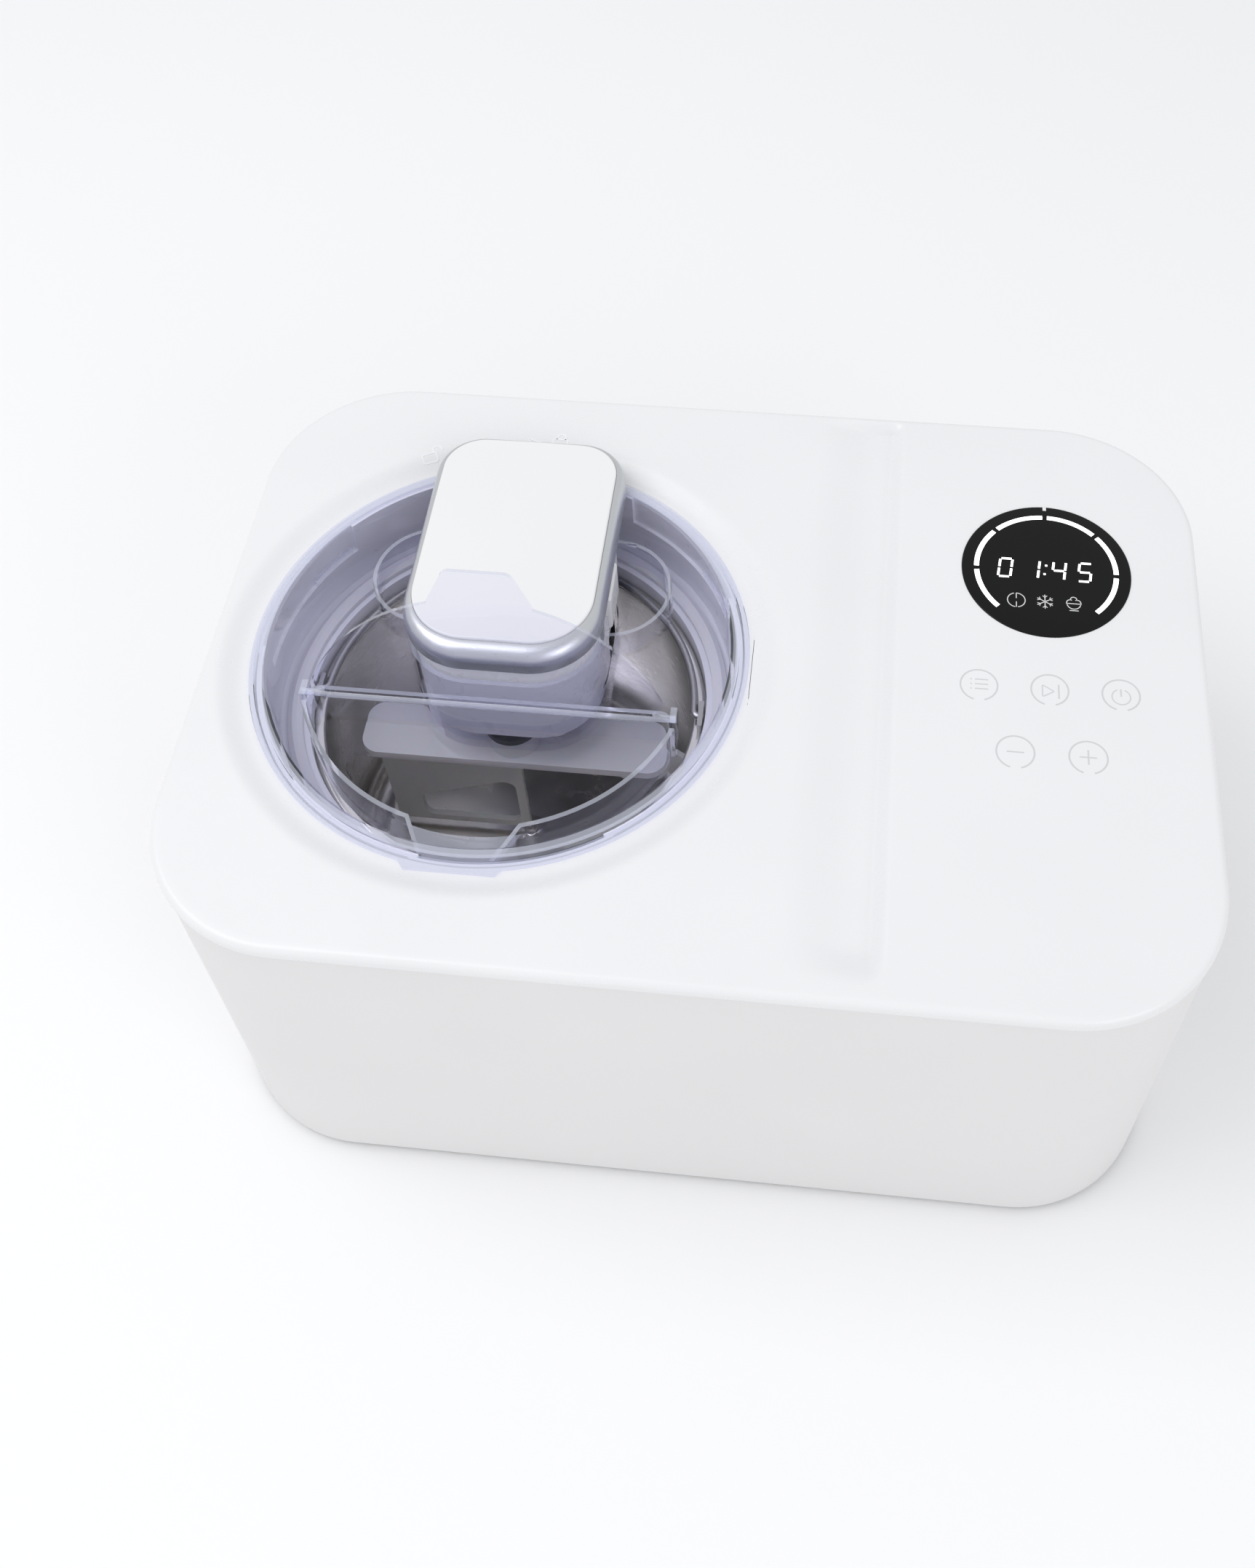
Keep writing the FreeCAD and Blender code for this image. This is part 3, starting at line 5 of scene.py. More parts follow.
import bmesh
import bpy
import numpy as np
from mathutils import Matrix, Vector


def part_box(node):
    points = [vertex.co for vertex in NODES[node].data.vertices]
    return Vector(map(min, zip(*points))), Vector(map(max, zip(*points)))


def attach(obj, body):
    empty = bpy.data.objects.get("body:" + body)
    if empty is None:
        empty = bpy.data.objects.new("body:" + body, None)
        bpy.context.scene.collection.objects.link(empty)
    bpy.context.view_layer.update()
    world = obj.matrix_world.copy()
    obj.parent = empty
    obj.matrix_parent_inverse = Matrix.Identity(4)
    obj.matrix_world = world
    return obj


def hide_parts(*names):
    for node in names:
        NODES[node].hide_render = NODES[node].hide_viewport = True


bl_info = {
    "name": "Ice Cream Maker",
    "version": (1, 0, 0),
    "blender": (4, 5, 0),
    "location": "3D View > Sidebar > Ice Cream Maker",
    "description": "Builds the visible surfaces and finishes of a self-cooling ice cream maker",
    "category": "Object",
}

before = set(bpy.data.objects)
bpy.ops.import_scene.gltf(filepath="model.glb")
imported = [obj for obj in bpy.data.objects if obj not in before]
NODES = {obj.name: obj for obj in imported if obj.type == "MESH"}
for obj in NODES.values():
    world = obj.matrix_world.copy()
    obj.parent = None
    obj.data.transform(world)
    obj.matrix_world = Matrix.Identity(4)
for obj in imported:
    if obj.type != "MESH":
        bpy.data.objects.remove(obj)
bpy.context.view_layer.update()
MM = 0.001


def node_box(name):
    """Lowest and highest corner of a node, in millimetres."""
    low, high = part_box(name)
    return np.array(low) / MM, np.array(high) / MM


# ---- places taken from the frame, in millimetres ----
COVER_LOW, COVER_HIGH = node_box("top_cover")
BOWL_LOW, BOWL_HIGH = node_box("bowl")
FRAME_LOW, FRAME_HIGH = node_box("motor_frame")
PANEL_LOW, PANEL_HIGH = node_box("motor_top_panel")
GLASS_LOW, GLASS_HIGH = node_box("display_glass")
DECK_Z = COVER_HIGH[2]
COVER_HALF = (COVER_HIGH - COVER_LOW)[:2] / 2
AXIS = np.array([(BOWL_LOW[0] + BOWL_HIGH[0]) / 2, 0.0])
DISPLAY = np.array([(GLASS_LOW[0] + GLASS_HIGH[0]) / 2, (GLASS_LOW[1] + GLASS_HIGH[1]) / 2])
DISPLAY_R = (GLASS_HIGH[0] - GLASS_LOW[0]) / 2


# ---- paths and profiles, whole arrays at a time ----
def arc(centre, radius, start, end, count):
    """Points on a circle: centre plus radius times (cos, sin) of evenly stepped angles."""
    turn = np.radians(np.linspace(start, end, count))
    return np.array(centre) + radius * np.stack([np.cos(turn), np.sin(turn)], 1)


def softened(corners, radii, steps=5):
    """A closed polygon whose corners are arcs.

    Each arc starts and ends at radius / tan(half angle) from its corner.
    """
    corners = np.array(corners, float)
    out = []
    for k, (corner, radius) in enumerate(zip(corners, radii)):
        before = corners[k - 1] - corner
        after = corners[(k + 1) % len(corners)] - corner
        before /= np.linalg.norm(before)
        after /= np.linalg.norm(after)
        if radius <= 0:
            out.append(corner[None])
            continue
        half = np.arccos(np.clip(before @ after, -1, 1)) / 2
        start = corner + before * radius / np.tan(half)
        end = corner + after * radius / np.tan(half)
        middle = corner + (before + after) / np.linalg.norm(before + after) * radius / np.sin(half)
        share = np.linspace(0, 1, steps)[:, None]
        chord = start + (end - start) * share - middle
        out.append(middle + chord / np.linalg.norm(chord, axis=1)[:, None] * radius)
    return np.concatenate(out)


def rounded_outline(x, y, radii, s):
    """Points and outward directions at distances s round a rounded rectangle.

    Distances start at the lower end of the right side. The outline is four straight runs and four quarter
    circles in turn; a distance falls in one of these eight stretches, and is a share of its run or an angle
    on its circle. radii are for the corners at the top right, top left, bottom left and bottom right.
    """
    radii = np.array(radii, float)
    corner = np.array([[x[1], y[1]], [x[0], y[1]], [x[0], y[0]], [x[1], y[0]]], float)
    inward = np.array([[-1, -1], [1, -1], [1, 1], [-1, 1]])
    centre = corner + inward * radii[:, None]
    base = np.arange(4) * np.pi / 2
    facing = np.stack([np.cos(base), np.sin(base)], 1)
    start = np.roll(centre, 1, 0) + facing * np.roll(radii, 1)[:, None]
    end = centre + facing * radii[:, None]
    lengths = np.stack([np.linalg.norm(end - start, axis=1), radii * np.pi / 2], 1).ravel()
    marks = np.concatenate([[0], np.cumsum(lengths)])
    s = np.mod(np.asarray(s, float), marks[-1])
    stretch = np.clip(np.searchsorted(marks, s, side="right") - 1, 0, 7)
    side, along = stretch // 2, s - marks[stretch]
    angle = base[side] + np.where(stretch % 2 == 1, along / radii[side], 0)
    out = np.stack([np.cos(angle), np.sin(angle)], 1)
    forward = np.stack([-facing[side, 1], facing[side, 0]], 1)
    on_line = start[side] + forward * along[:, None]
    on_arc = centre[side] + out * radii[side][:, None]
    return np.where((stretch % 2 == 1)[:, None], on_arc, on_line), out, marks


def outline_loop(x, y, radii, count):
    """The whole rounded rectangle at even distances, with its outward directions."""
    total = rounded_outline(x, y, radii, [0.0])[2][-1]
    points, out, _ = rounded_outline(x, y, radii, np.arange(count) * total / count)
    return points, out


def swept(points, out, profile):
    """A profile of (offset, height) carried along a plan path: point plus outward direction times offset."""
    flat = points[:, None, :] + out[:, None, :] * profile[None, :, :1]
    high = np.broadcast_to(profile[None, :, 1:], flat.shape[:2] + (1,))
    return np.concatenate([flat, high], 2)


def turned(profile, centre, count):
    """A profile of (radius, height) carried round a vertical axis: centre plus radius times (cos, sin)."""
    circle = arc((0, 0), 1.0, 0, 360, count + 1)[:-1]
    base = np.broadcast_to(np.array(centre, float), circle.shape)
    return swept(base, circle, profile)


def ramp(value):
    """Smooth step of a share from 0 to 1, with level ends: 3 s squared less 2 s cubed."""
    share = np.clip(value, 0, 1)
    return share * share * (3 - 2 * share)


def tube(path, radius, count=16):
    """A round section carried along a space path; its two axes lean on the path's tangent and the upright."""
    tangent = np.gradient(path, axis=0)
    tangent /= np.linalg.norm(tangent, axis=1)[:, None]
    side = np.cross(tangent, [0.0, 0.0, 1.0])
    side /= np.linalg.norm(side, axis=1)[:, None]
    up = np.cross(side, tangent)
    turn = np.linspace(0, 2 * np.pi, count, endpoint=False)
    across = np.cos(turn)[None, :, None] * side[:, None, :] + np.sin(turn)[None, :, None] * up[:, None, :]
    return path[:, None, :] + across * radius


# ---- meshes ----
def sheet_faces(rows, columns, start, wrap_rows, wrap_columns):
    """Quads between neighbouring rows and columns of a grid of points, closed on itself where asked."""
    i = np.arange(rows if wrap_rows else rows - 1)[:, None]
    j = np.arange(columns if wrap_columns else columns - 1)[None, :]
    right, down = (i + 1) % rows, (j + 1) % columns
    quads = np.stack([i * columns + j, right * columns + j, right * columns + down, i * columns + down], -1)
    return quads.reshape(-1, 4) + start


def build(name, sheets, body, material, replaced=(), crease=35.0, weld=0.004):
    """Joins grids of points (each with its two wrap flags) into one closed piece riding on a body."""
    points, faces, at = [], [], 0
    for sheet, wrap_rows, wrap_columns in sheets:
        rows, columns = sheet.shape[:2]
        faces.append(sheet_faces(rows, columns, at, wrap_rows, wrap_columns))
        points.append(sheet.reshape(-1, 3) * MM)
        at += rows * columns
    mesh = bpy.data.meshes.new(name)
    mesh.from_pydata(np.concatenate(points), [], np.concatenate(faces).tolist())
    shell = bmesh.new()
    shell.from_mesh(mesh)
    bmesh.ops.remove_doubles(shell, verts=shell.verts, dist=weld * MM)
    bmesh.ops.dissolve_degenerate(shell, edges=shell.edges, dist=weld * MM)
    bmesh.ops.recalc_face_normals(shell, faces=shell.faces)
    shell.to_mesh(mesh)
    shell.free()
    mesh.shade_smooth()
    mesh.set_sharp_from_angle(angle=math.radians(crease))
    mesh.materials.append(material)
    piece = bpy.data.objects.new(name, mesh)
    bpy.context.scene.collection.objects.link(piece)
    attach(piece, body)
    if replaced:
        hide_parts(*replaced)
    return piece


def capped(sheet):
    """A tube of sections closed at both ends by sections shrunk to their middles."""
    first = sheet[:1].mean(1, keepdims=True).repeat(sheet.shape[1], 1)
    last = sheet[-1:].mean(1, keepdims=True).repeat(sheet.shape[1], 1)
    return np.concatenate([first, sheet, last])


def stroke(path, width, low, high, closed=False, drape=None):
    """A flat line of one width with a rectangular section, drawn along plan points and laid on a height."""
    path = np.array(path, float)
    ahead = np.roll(path, -1, 0) - np.roll(path, 1, 0)
    if not closed:
        ahead[0], ahead[-1] = path[1] - path[0], path[-1] - path[-2]
    out = np.stack([ahead[:, 1], -ahead[:, 0]], 1) / np.linalg.norm(ahead, axis=1)[:, None]
    half = width / 2
    section = np.array([[-half, low], [half, low], [half, high], [-half, high]])
    sheet = swept(path, out, section)
    if drape is not None:
        sheet[:, :, 2] += drape(sheet[:, :, 0], sheet[:, :, 1])
    return (sheet if closed else capped(sheet), closed, True)


# ---- nodes and colours ----
TONE_DRIFT_MM = 60.0            # a moulding's tone drifts slowly over this length
WAVE_MM = 9.0                   # long waves that the tool leaves in a clear moulding
WALL_TOP_MM = (20.0, 16.0)      # the lid's inner walls end between these depths under the deck
CLEAR_IOR = 1.45
THIN_WALL_IOR = 1.01            # a thin wall shifts what is behind it hardly at all
PLASTIC_IOR = 1.53


def linear(text, alpha=1.0):
    """sRGB hex to a linear colour."""
    value = np.array([int(text[k:k + 2], 16) for k in (1, 3, 5)]) / 255
    value = np.where(value <= 0.04045, value / 12.92, ((value + 0.055) / 1.055) ** 2.4)
    return (*value.tolist(), alpha)


def add_node(tree, kind, settings=None, values=None, links=None):
    """Adds one node: settings are its options, values its plain sockets, links the sockets that feed it."""
    made = tree.nodes.new(kind)
    for key, value in (settings or {}).items():
        setattr(made, key, value)
    for key, value in (values or {}).items():
        made.inputs[key].default_value = value
    for key, source in (links or {}).items():
        tree.links.new(source, made.inputs[key])
    return made


def blank(name):
    """A new material and its emptied node tree."""
    material = bpy.data.materials.get(name) or bpy.data.materials.new(name)
    material.use_nodes = True
    material.node_tree.nodes.clear()
    return material, material.node_tree


def place(tree, scale=(1.0, 1.0, 1.0)):
    """The object's own coordinates in metres, stretched by a scale."""
    where = add_node(tree, "ShaderNodeTexCoord")
    return add_node(tree, "ShaderNodeMapping", values={"Scale": scale},
                    links={"Vector": where.outputs["Object"]})


def grain(tree, size_mm, detail=3.0, scale=(1.0, 1.0, 1.0)):
    """Noise whose lumps are about size_mm across."""
    at = place(tree, scale)
    return add_node(tree, "ShaderNodeTexNoise", values={"Scale": 1 / (size_mm * MM), "Detail": detail},
                    links={"Vector": at.outputs["Vector"]})


def spread(tree, source, low, high):
    """Maps a noise value onto a range."""
    return add_node(tree, "ShaderNodeMapRange",
                    values={"From Min": 0.3, "From Max": 0.7, "To Min": low, "To Max": high},
                    links={"Value": source})


def finish_surface(tree, shader):
    """Feeds the shader to the material's output."""
    add_node(tree, "ShaderNodeOutputMaterial", links={"Surface": shader.outputs[0]})


def moulded(name, colour, grain_mm, roughness, relief_mm, spread_by=0.05, values=None, tone=0.04):
    """Moulded plastic: a base tone that drifts a little, a roughness that varies, and a fine relief."""
    material, tree = blank(name)
    fine = grain(tree, grain_mm)
    drift = grain(tree, TONE_DRIFT_MM, 1.0)
    shade = add_node(tree, "ShaderNodeMix", {"data_type": "RGBA"},
                     {"A": linear(colour), "B": tuple(c * (1 - tone) for c in linear(colour)[:3]) + (1.0,)},
                     {"Factor": drift.outputs["Fac"]})
    rough = spread(tree, fine.outputs["Fac"], roughness - spread_by, roughness + spread_by)
    bump = add_node(tree, "ShaderNodeBump", values={"Strength": 0.5, "Distance": relief_mm * MM},
                    links={"Height": fine.outputs["Fac"]})
    shader = add_node(tree, "ShaderNodeBsdfPrincipled", values={"IOR": PLASTIC_IOR, **(values or {})},
                      links={"Base Color": shade.outputs["Result"], "Roughness": rough.outputs["Result"],
                             "Normal": bump.outputs["Normal"]})
    finish_surface(tree, shader)
    return material


def metal(name, colour, roughness, line_mm, stretch, relief_mm=0.01, dark=0.12):
    """Worked metal: fine lines drawn out along one way of the object set the tone, roughness and relief."""
    material, tree = blank(name)
    lines = grain(tree, line_mm, 2.0, stretch)
    shade = add_node(tree, "ShaderNodeMix", {"data_type": "RGBA"},
                     {"A": linear(colour), "B": tuple(c * (1 - dark) for c in linear(colour)[:3]) + (1.0,)},
                     {"Factor": lines.outputs["Fac"]})
    rough = spread(tree, lines.outputs["Fac"], roughness * 0.8, roughness * 1.25)
    bump = add_node(tree, "ShaderNodeBump", values={"Strength": 0.4, "Distance": relief_mm * MM},
                    links={"Height": lines.outputs["Fac"]})
    shader = add_node(tree, "ShaderNodeBsdfPrincipled", values={"Metallic": 1.0},
                      links={"Base Color": shade.outputs["Result"], "Roughness": rough.outputs["Result"],
                             "Normal": bump.outputs["Normal"]})
    finish_surface(tree, shader)
    return material


def clear_moulding(name, through, edge, gloss=0.03):
    """Clear moulded plastic: light goes straight through and a hard gloss lies on it.

    Grazing faces and the narrow tops of upright walls, which are looked down into, keep more of the light
    and show it as a cool tint. Only outer faces carry the gloss, so no ray is trapped in a wall.
    """
    material, tree = blank(name)
    waves = grain(tree, WAVE_MM, 1.0)
    bump = add_node(tree, "ShaderNodeBump", values={"Strength": 0.25, "Distance": 0.05 * MM},
                    links={"Height": waves.outputs["Fac"]})
    relief = {"Normal": bump.outputs["Normal"]}
    window = add_node(tree, "ShaderNodeBsdfTransparent", values={"Color": linear(through)})
    tint = add_node(tree, "ShaderNodeBsdfPrincipled",
                    values={"Base Color": linear(edge), "Roughness": 0.25, "IOR": 1.5, "Coat Weight": 0.5})

    where = add_node(tree, "ShaderNodeTexCoord")
    at = add_node(tree, "ShaderNodeSeparateXYZ", links={"Vector": where.outputs["Object"]})
    facing = add_node(tree, "ShaderNodeSeparateXYZ", links={"Vector": where.outputs["Normal"]})
    low, full = ((DECK_Z - depth) * MM for depth in WALL_TOP_MM)
    high = add_node(tree, "ShaderNodeMapRange", values={"From Min": low, "From Max": full, "To Max": 0.42},
                    links={"Value": at.outputs["Z"]})
    level = add_node(tree, "ShaderNodeMapRange", values={"From Min": 0.6, "From Max": 0.95},
                     links={"Value": facing.outputs["Z"]})
    top = add_node(tree, "ShaderNodeMath", {"operation": "MULTIPLY"},
                   links={0: high.outputs["Result"], 1: level.outputs["Result"]})
    graze = add_node(tree, "ShaderNodeLayerWeight", values={"Blend": 0.25}, links=relief)
    rim = add_node(tree, "ShaderNodeMapRange", values={"From Min": 0.7, "From Max": 1.0, "To Max": 0.35},
                   links={"Value": graze.outputs["Facing"]})
    keep = add_node(tree, "ShaderNodeMath", {"operation": "MAXIMUM"},
                    links={0: rim.outputs["Result"], 1: top.outputs["Value"]})
    seen = add_node(tree, "ShaderNodeBsdfRefraction",
                    values={"Color": linear(through), "Roughness": 0.0, "IOR": THIN_WALL_IOR})
    clear = add_node(tree, "ShaderNodeMixShader",
                     links={0: keep.outputs["Value"], 1: seen.outputs[0], 2: tint.outputs[0]})

    shine = add_node(tree, "ShaderNodeBsdfAnisotropic",
                     values={"Color": (1.0, 1.0, 1.0, 1.0), "Roughness": gloss}, links=relief)
    reflect = add_node(tree, "ShaderNodeFresnel", values={"IOR": CLEAR_IOR}, links=relief)
    side = add_node(tree, "ShaderNodeNewGeometry")
    outside = add_node(tree, "ShaderNodeMath", {"operation": "SUBTRACT"}, {0: 1.0},
                       links={1: side.outputs["Backfacing"]})
    outer_gloss = add_node(tree, "ShaderNodeMath", {"operation": "MULTIPLY"},
                           links={0: reflect.outputs["Fac"], 1: outside.outputs["Value"]})
    whole = add_node(tree, "ShaderNodeMixShader",
                     links={0: outer_gloss.outputs["Value"], 1: clear.outputs[0], 2: shine.outputs[0]})

    path = add_node(tree, "ShaderNodeLightPath")
    soft = add_node(tree, "ShaderNodeMath", {"operation": "MAXIMUM"},
                    links={0: path.outputs["Is Shadow Ray"], 1: path.outputs["Is Diffuse Ray"]})
    mix = add_node(tree, "ShaderNodeMixShader",
                   links={0: soft.outputs[0], 1: whole.outputs[0], 2: window.outputs[0]})
    finish_surface(tree, mix)
    return material


def lit(name, colour, strength):
    """Light-emitting figure under clear glass."""
    material, tree = blank(name)
    shader = add_node(tree, "ShaderNodeBsdfPrincipled",
                      values={"Base Color": linear(colour), "Roughness": 0.5,
                              "Emission Color": linear(colour), "Emission Strength": strength})
    finish_surface(tree, shader)
    return material


def make_finishes(tones):
    """Every finish by its slot name."""
    made = {}
    # Polished ABS deck: an even gloss with a slight orange peel and soft, broad highlights.
    made["cover_white"] = moulded("abs_polished_white", tones.cover, 7.0, 0.30, 0.03)
    # Spark-eroded ABS side wall: a fine matt grain that spreads highlights; 0.3 mm grit, drawn as 0.9 mm.
    made["casing_white"] = moulded("abs_spark_eroded_white", tones.casing, 0.9, 0.46, 0.02)
    # Polished ABS neck ring under the clear lid: glossy, slightly cool.
    made["collar_white"] = moulded("abs_neck_ring_white", tones.collar, 7.0, 0.32, 0.02)
    # Textured ABS base plate, dull grey.
    made["base_grey"] = moulded("abs_textured_grey", "#8B8C8E", 0.9, 0.55, 0.03)
    # Moulded EPDM foot: dark, dull, with a faint bloom.
    made["foot_rubber"] = moulded("epdm_moulded_foot", "#3A3A3C", 1.2, 0.7, 0.05)
    # Drawn stainless wire: bright, with fine die lines.
    made["steel"] = metal("stainless_drawn_wire", "#B9B8B6", 0.2, 0.8, (1.0, 1.0, 1.0))
    # Stamped brass contact: warm, satin.
    made["contact_brass"] = metal("brass_stamped", "#C9A75B", 0.3, 0.6, (1.0, 4.0, 1.0))
    # Spun aluminium well: pale metal with close turning rings.
    made["well_aluminium"] = metal("aluminium_spun", "#C4C6C8", 0.35, 1.0, (0.2, 0.2, 3.0))
    # Drawn copper tube: reddish, with tarnish in drawn-out patches.
    made["copper"] = metal("copper_drawn_tube", "#B8714C", 0.32, 3.0, (1.0, 1.0, 1.0), dark=0.35)
    # Rigid polyurethane foam poured round the well: cream, dull, open cells; 0.4 mm cells drawn as 1.5 mm.
    made["foam"] = moulded("polyurethane_poured_foam", "#D9CFAE", 1.5, 0.9, 0.3)
    # Black stoving enamel on the compressor's pressed steel.
    made["compressor_black"] = moulded("stoving_enamel_black", "#17181A", 4.0, 0.3, 0.03)
    # Pressed aluminium fins: bright, slightly wavy.
    made["fin_aluminium"] = metal("aluminium_pressed_fin", "#B4B8BB", 0.4, 2.0, (1.0, 1.0, 0.3))
    # Glass-filled nylon brackets and shrouds: near-black, streaked.
    made["dark_plastic"] = moulded("nylon_glass_filled_black", "#26282A", 1.0, 0.5, 0.04)
    # Solder-masked circuit board: dark green with a resin shine.
    made["board_green"] = moulded("epoxy_board_green", "#1F5A3A", 2.0, 0.35, 0.02)
    # Black-printed acrylic display window: deep black under a hard gloss.
    made["display_glass"] = moulded("acrylic_black_printed", "#030303", 9.0, 0.16, 0.005, 0.02,
                                    {"IOR": 1.49, "Specular IOR Level": 0.25}, 0.0)
    # Spun stainless bowl: rings left by the spinning tool, a soft grey sheen; fine rings drawn coarser.
    made["bowl_metal"] = metal("stainless_spun_bowl", tones.bowl, 0.22, 2.4, (0.25, 0.25, 3.0))
    # Moulded silicone seal: translucent white, dull.
    made["seal_silicone"] = moulded("silicone_moulded_seal", "#E4E4E6", 2.0, 0.6, 0.02,
                                    values={"Subsurface Weight": 0.2, "Subsurface Scale": 0.002})
    # Clear moulded SAN: colourless face on, faintly blue where the light runs along it.
    made["lid_clear"] = clear_moulding("san_clear_moulded", tones.clear, "#CFD3E0")
    # Natural polypropylene scraper: milky, slightly waxy.
    made["paddle_plastic"] = moulded("polypropylene_natural", "#E6E6E6", 3.0, 0.4, 0.02,
                                     values={"Subsurface Weight": 0.25, "Subsurface Scale": 0.004,
                                             "Transmission Weight": 0.25})
    # Satin silver lacquer on ABS: fine metal flake, 0.05 mm, drawn as 0.5 mm.
    made["frame_silver"] = metal("silver_satin_lacquer", tones.silver, 0.34, 0.5, (1.0, 1.0, 1.0), dark=0.08)
    # High-gloss ABS inlay panel.
    made["panel_white"] = moulded("abs_high_gloss_panel", tones.panel, 9.0, 0.16, 0.01)
    # Polished ABS motor case.
    made["unit_white"] = moulded("abs_polished_case", tones.panel, 7.0, 0.3, 0.02)
    # Zinc-plated motor can.
    made["motor_steel"] = metal("steel_zinc_plated", "#9C9EA1", 0.38, 1.5, (1.0, 1.0, 1.0))
    # Moulded nylon gears: ivory, waxy.
    made["gear_nylon"] = moulded("nylon_moulded_gear", "#E8E3D3", 1.5, 0.45, 0.02)
    return made


FINISH = {}                     # every finish by slot name, filled by the first operator


# ---- deck cover ----
EDGE_R = 3.0
SIDE_Z = DECK_Z - 4.7
COVER_T = 2.8
CORNER_R = 57.9
DISH_R = (101.0, 112.5)
DISH_DEPTH = 3.7
HOLE_R = 97.0
GROOVE_X = (39.0, 66.0, 70.0, 76.6)
GROOVE_FRONT = (-132.0, 9.0)
GROOVE_DEPTH = 5.0
SPLIT_X = (20.0, 100.0)
FINE_X = (38.0, 66.0, 78.0)     # the deck's grid is denser between these places across
FINE_Y = (-105.0, 120.0)        # and between these from front to back


def deck_height(x, y):
    """Deck height: level, less a ring-shaped dish round the lid, less a trough that fades at its front.

    The dish falls by a smooth step of the distance from the lid's axis. The trough's depth across x rises by
    a smooth step on the left and falls by a shorter one on the right, and both ends of x close in with a
    quarter circle at the front.
    """
    away = np.hypot(x - AXIS[0], y - AXIS[1])
    dish = DISH_DEPTH * (1 - ramp((away - DISH_R[0]) / (DISH_R[1] - DISH_R[0])))
    left, flat_0, flat_1, right = GROOVE_X
    front, round_r = GROOVE_FRONT
    past = np.clip(front + round_r - y, 0, round_r)
    close = round_r - np.sqrt(np.maximum(round_r ** 2 - past ** 2, 0))
    rise = ramp((x - left - 2 * close) / (flat_0 - left))
    fall = 1 - ramp((x - flat_1 + close) / (right - flat_1))
    fade = ramp((y - front) / (2 * round_r)) * ramp((COVER_HALF[1] - EDGE_R - y) / 4.0)
    return DECK_Z - dish - GROOVE_DEPTH * rise * fall * fade


class Outline:
    """The cover's outline and the distances along it where its surface patches meet."""

    def __init__(self):
        a, b = COVER_HALF
        self.x, self.y, self.radii = (-a, a), (-b, b), (CORNER_R,) * 4
        marks = rounded_outline(self.x, self.y, self.radii, [0.0])[2]
        quarter = CORNER_R * np.pi / 2
        self.total = marks[-1]
        self.top = lambda x: marks[2] + (a - CORNER_R) - np.asarray(x)
        self.bottom = lambda x: marks[6] + np.asarray(x) + (a - CORNER_R)
        self.top_right, self.bottom_right = marks[1] + quarter / 2, marks[7] + quarter / 2

    def inset(self, s, by):
        """Points at distances s, drawn in by a distance."""
        points, out, _ = rounded_outline(self.x, self.y, self.radii, s)
        return points - out * by


def stepped(stops, counts):
    """Numbers that run through the stops, with an even number of steps between each two."""
    runs = [np.linspace(a, b, n, endpoint=False) for a, b, n in zip(stops[:-1], stops[1:], counts)]
    return np.append(np.concatenate(runs), stops[-1])


def deck_patches(depth):
    """Three patches that tile the deck from the lid's hole to the outline, at a depth under its surface.

    Left: rays from a circle round the lid's axis to the outline. Middle: straight rows and columns over the
    trough. Right: the sum of the two ways of blending opposite edges, less the blend of the four corners.
    """
    line = Outline()
    edge_y = COVER_HALF[1] - EDGE_R
    middle_x = stepped([SPLIT_X[0], *FINE_X, SPLIT_X[1]], [5, 21, 20, 7])
    rows = stepped([-edge_y, *FINE_Y, edge_y], [25, 79, 13])
    far_x = np.linspace(SPLIT_X[1], COVER_HALF[0] - CORNER_R, 10)
    s_top = np.append(line.top(far_x)[:-1], np.linspace(line.top(far_x[-1]), line.top_right, 10))
    s_bottom = np.append(line.bottom(far_x)[:-1], np.linspace(line.bottom(far_x[-1]), line.bottom_right, 10))
    s_right = np.linspace(line.bottom_right - line.total, line.top_right, len(rows))
    s_left = np.linspace(line.top(SPLIT_X[0]), line.bottom(SPLIT_X[0]), 231)

    middle = np.stack(np.meshgrid(middle_x, rows, indexing="ij"), -1)

    top, bottom, right = (line.inset(s, EDGE_R) for s in (s_top, s_bottom, s_right))
    left = np.stack([np.full(len(rows), SPLIT_X[1]), rows], 1)
    u = np.linspace(0, 1, len(top))[:, None, None]
    v = ((rows + edge_y) / (2 * edge_y))[None, :, None]
    across = (1 - u) * left[None] + u * right[None]
    along = (1 - v) * bottom[:, None] + v * top[:, None]
    corners = (1 - v) * ((1 - u) * bottom[0] + u * bottom[-1]) + v * ((1 - u) * top[0] + u * top[-1])
    far = across + along - corners

    rim = np.concatenate([line.inset(s_left, EDGE_R),
                          np.stack([np.full(len(rows), SPLIT_X[0]), rows], 1)[1:-1]])
    ray = rim - AXIS
    reach = np.linalg.norm(ray, axis=1)[:, None]
    ray = ray / reach
    knee = np.minimum(DISH_R[1] + 0.5, reach - 0.2)
    radii = np.concatenate([DISH_R[0] + (knee - DISH_R[0]) * np.linspace(0, 1, 13)[None, :-1],
                            knee + (reach - knee) * np.linspace(0, 1, 15)[None, :]], 1)
    near = AXIS + ray[:, None, :] * radii[:, :, None]

    out = []
    for plan, wrap in ((near, True), (middle, False), (far, False)):
        high = deck_height(plan[..., 0], plan[..., 1]) - depth
        out.append((np.concatenate([plan, high[..., None]], 2), wrap, False))
    s_all = np.concatenate([s_left, line.bottom(middle_x)[1:], s_bottom[1:], s_right[1:] + line.total,
                            s_top[::-1][1:] + line.total, line.top(middle_x)[::-1][1:-1] + line.total])
    return out, s_all, AXIS + ray * DISH_R[0]


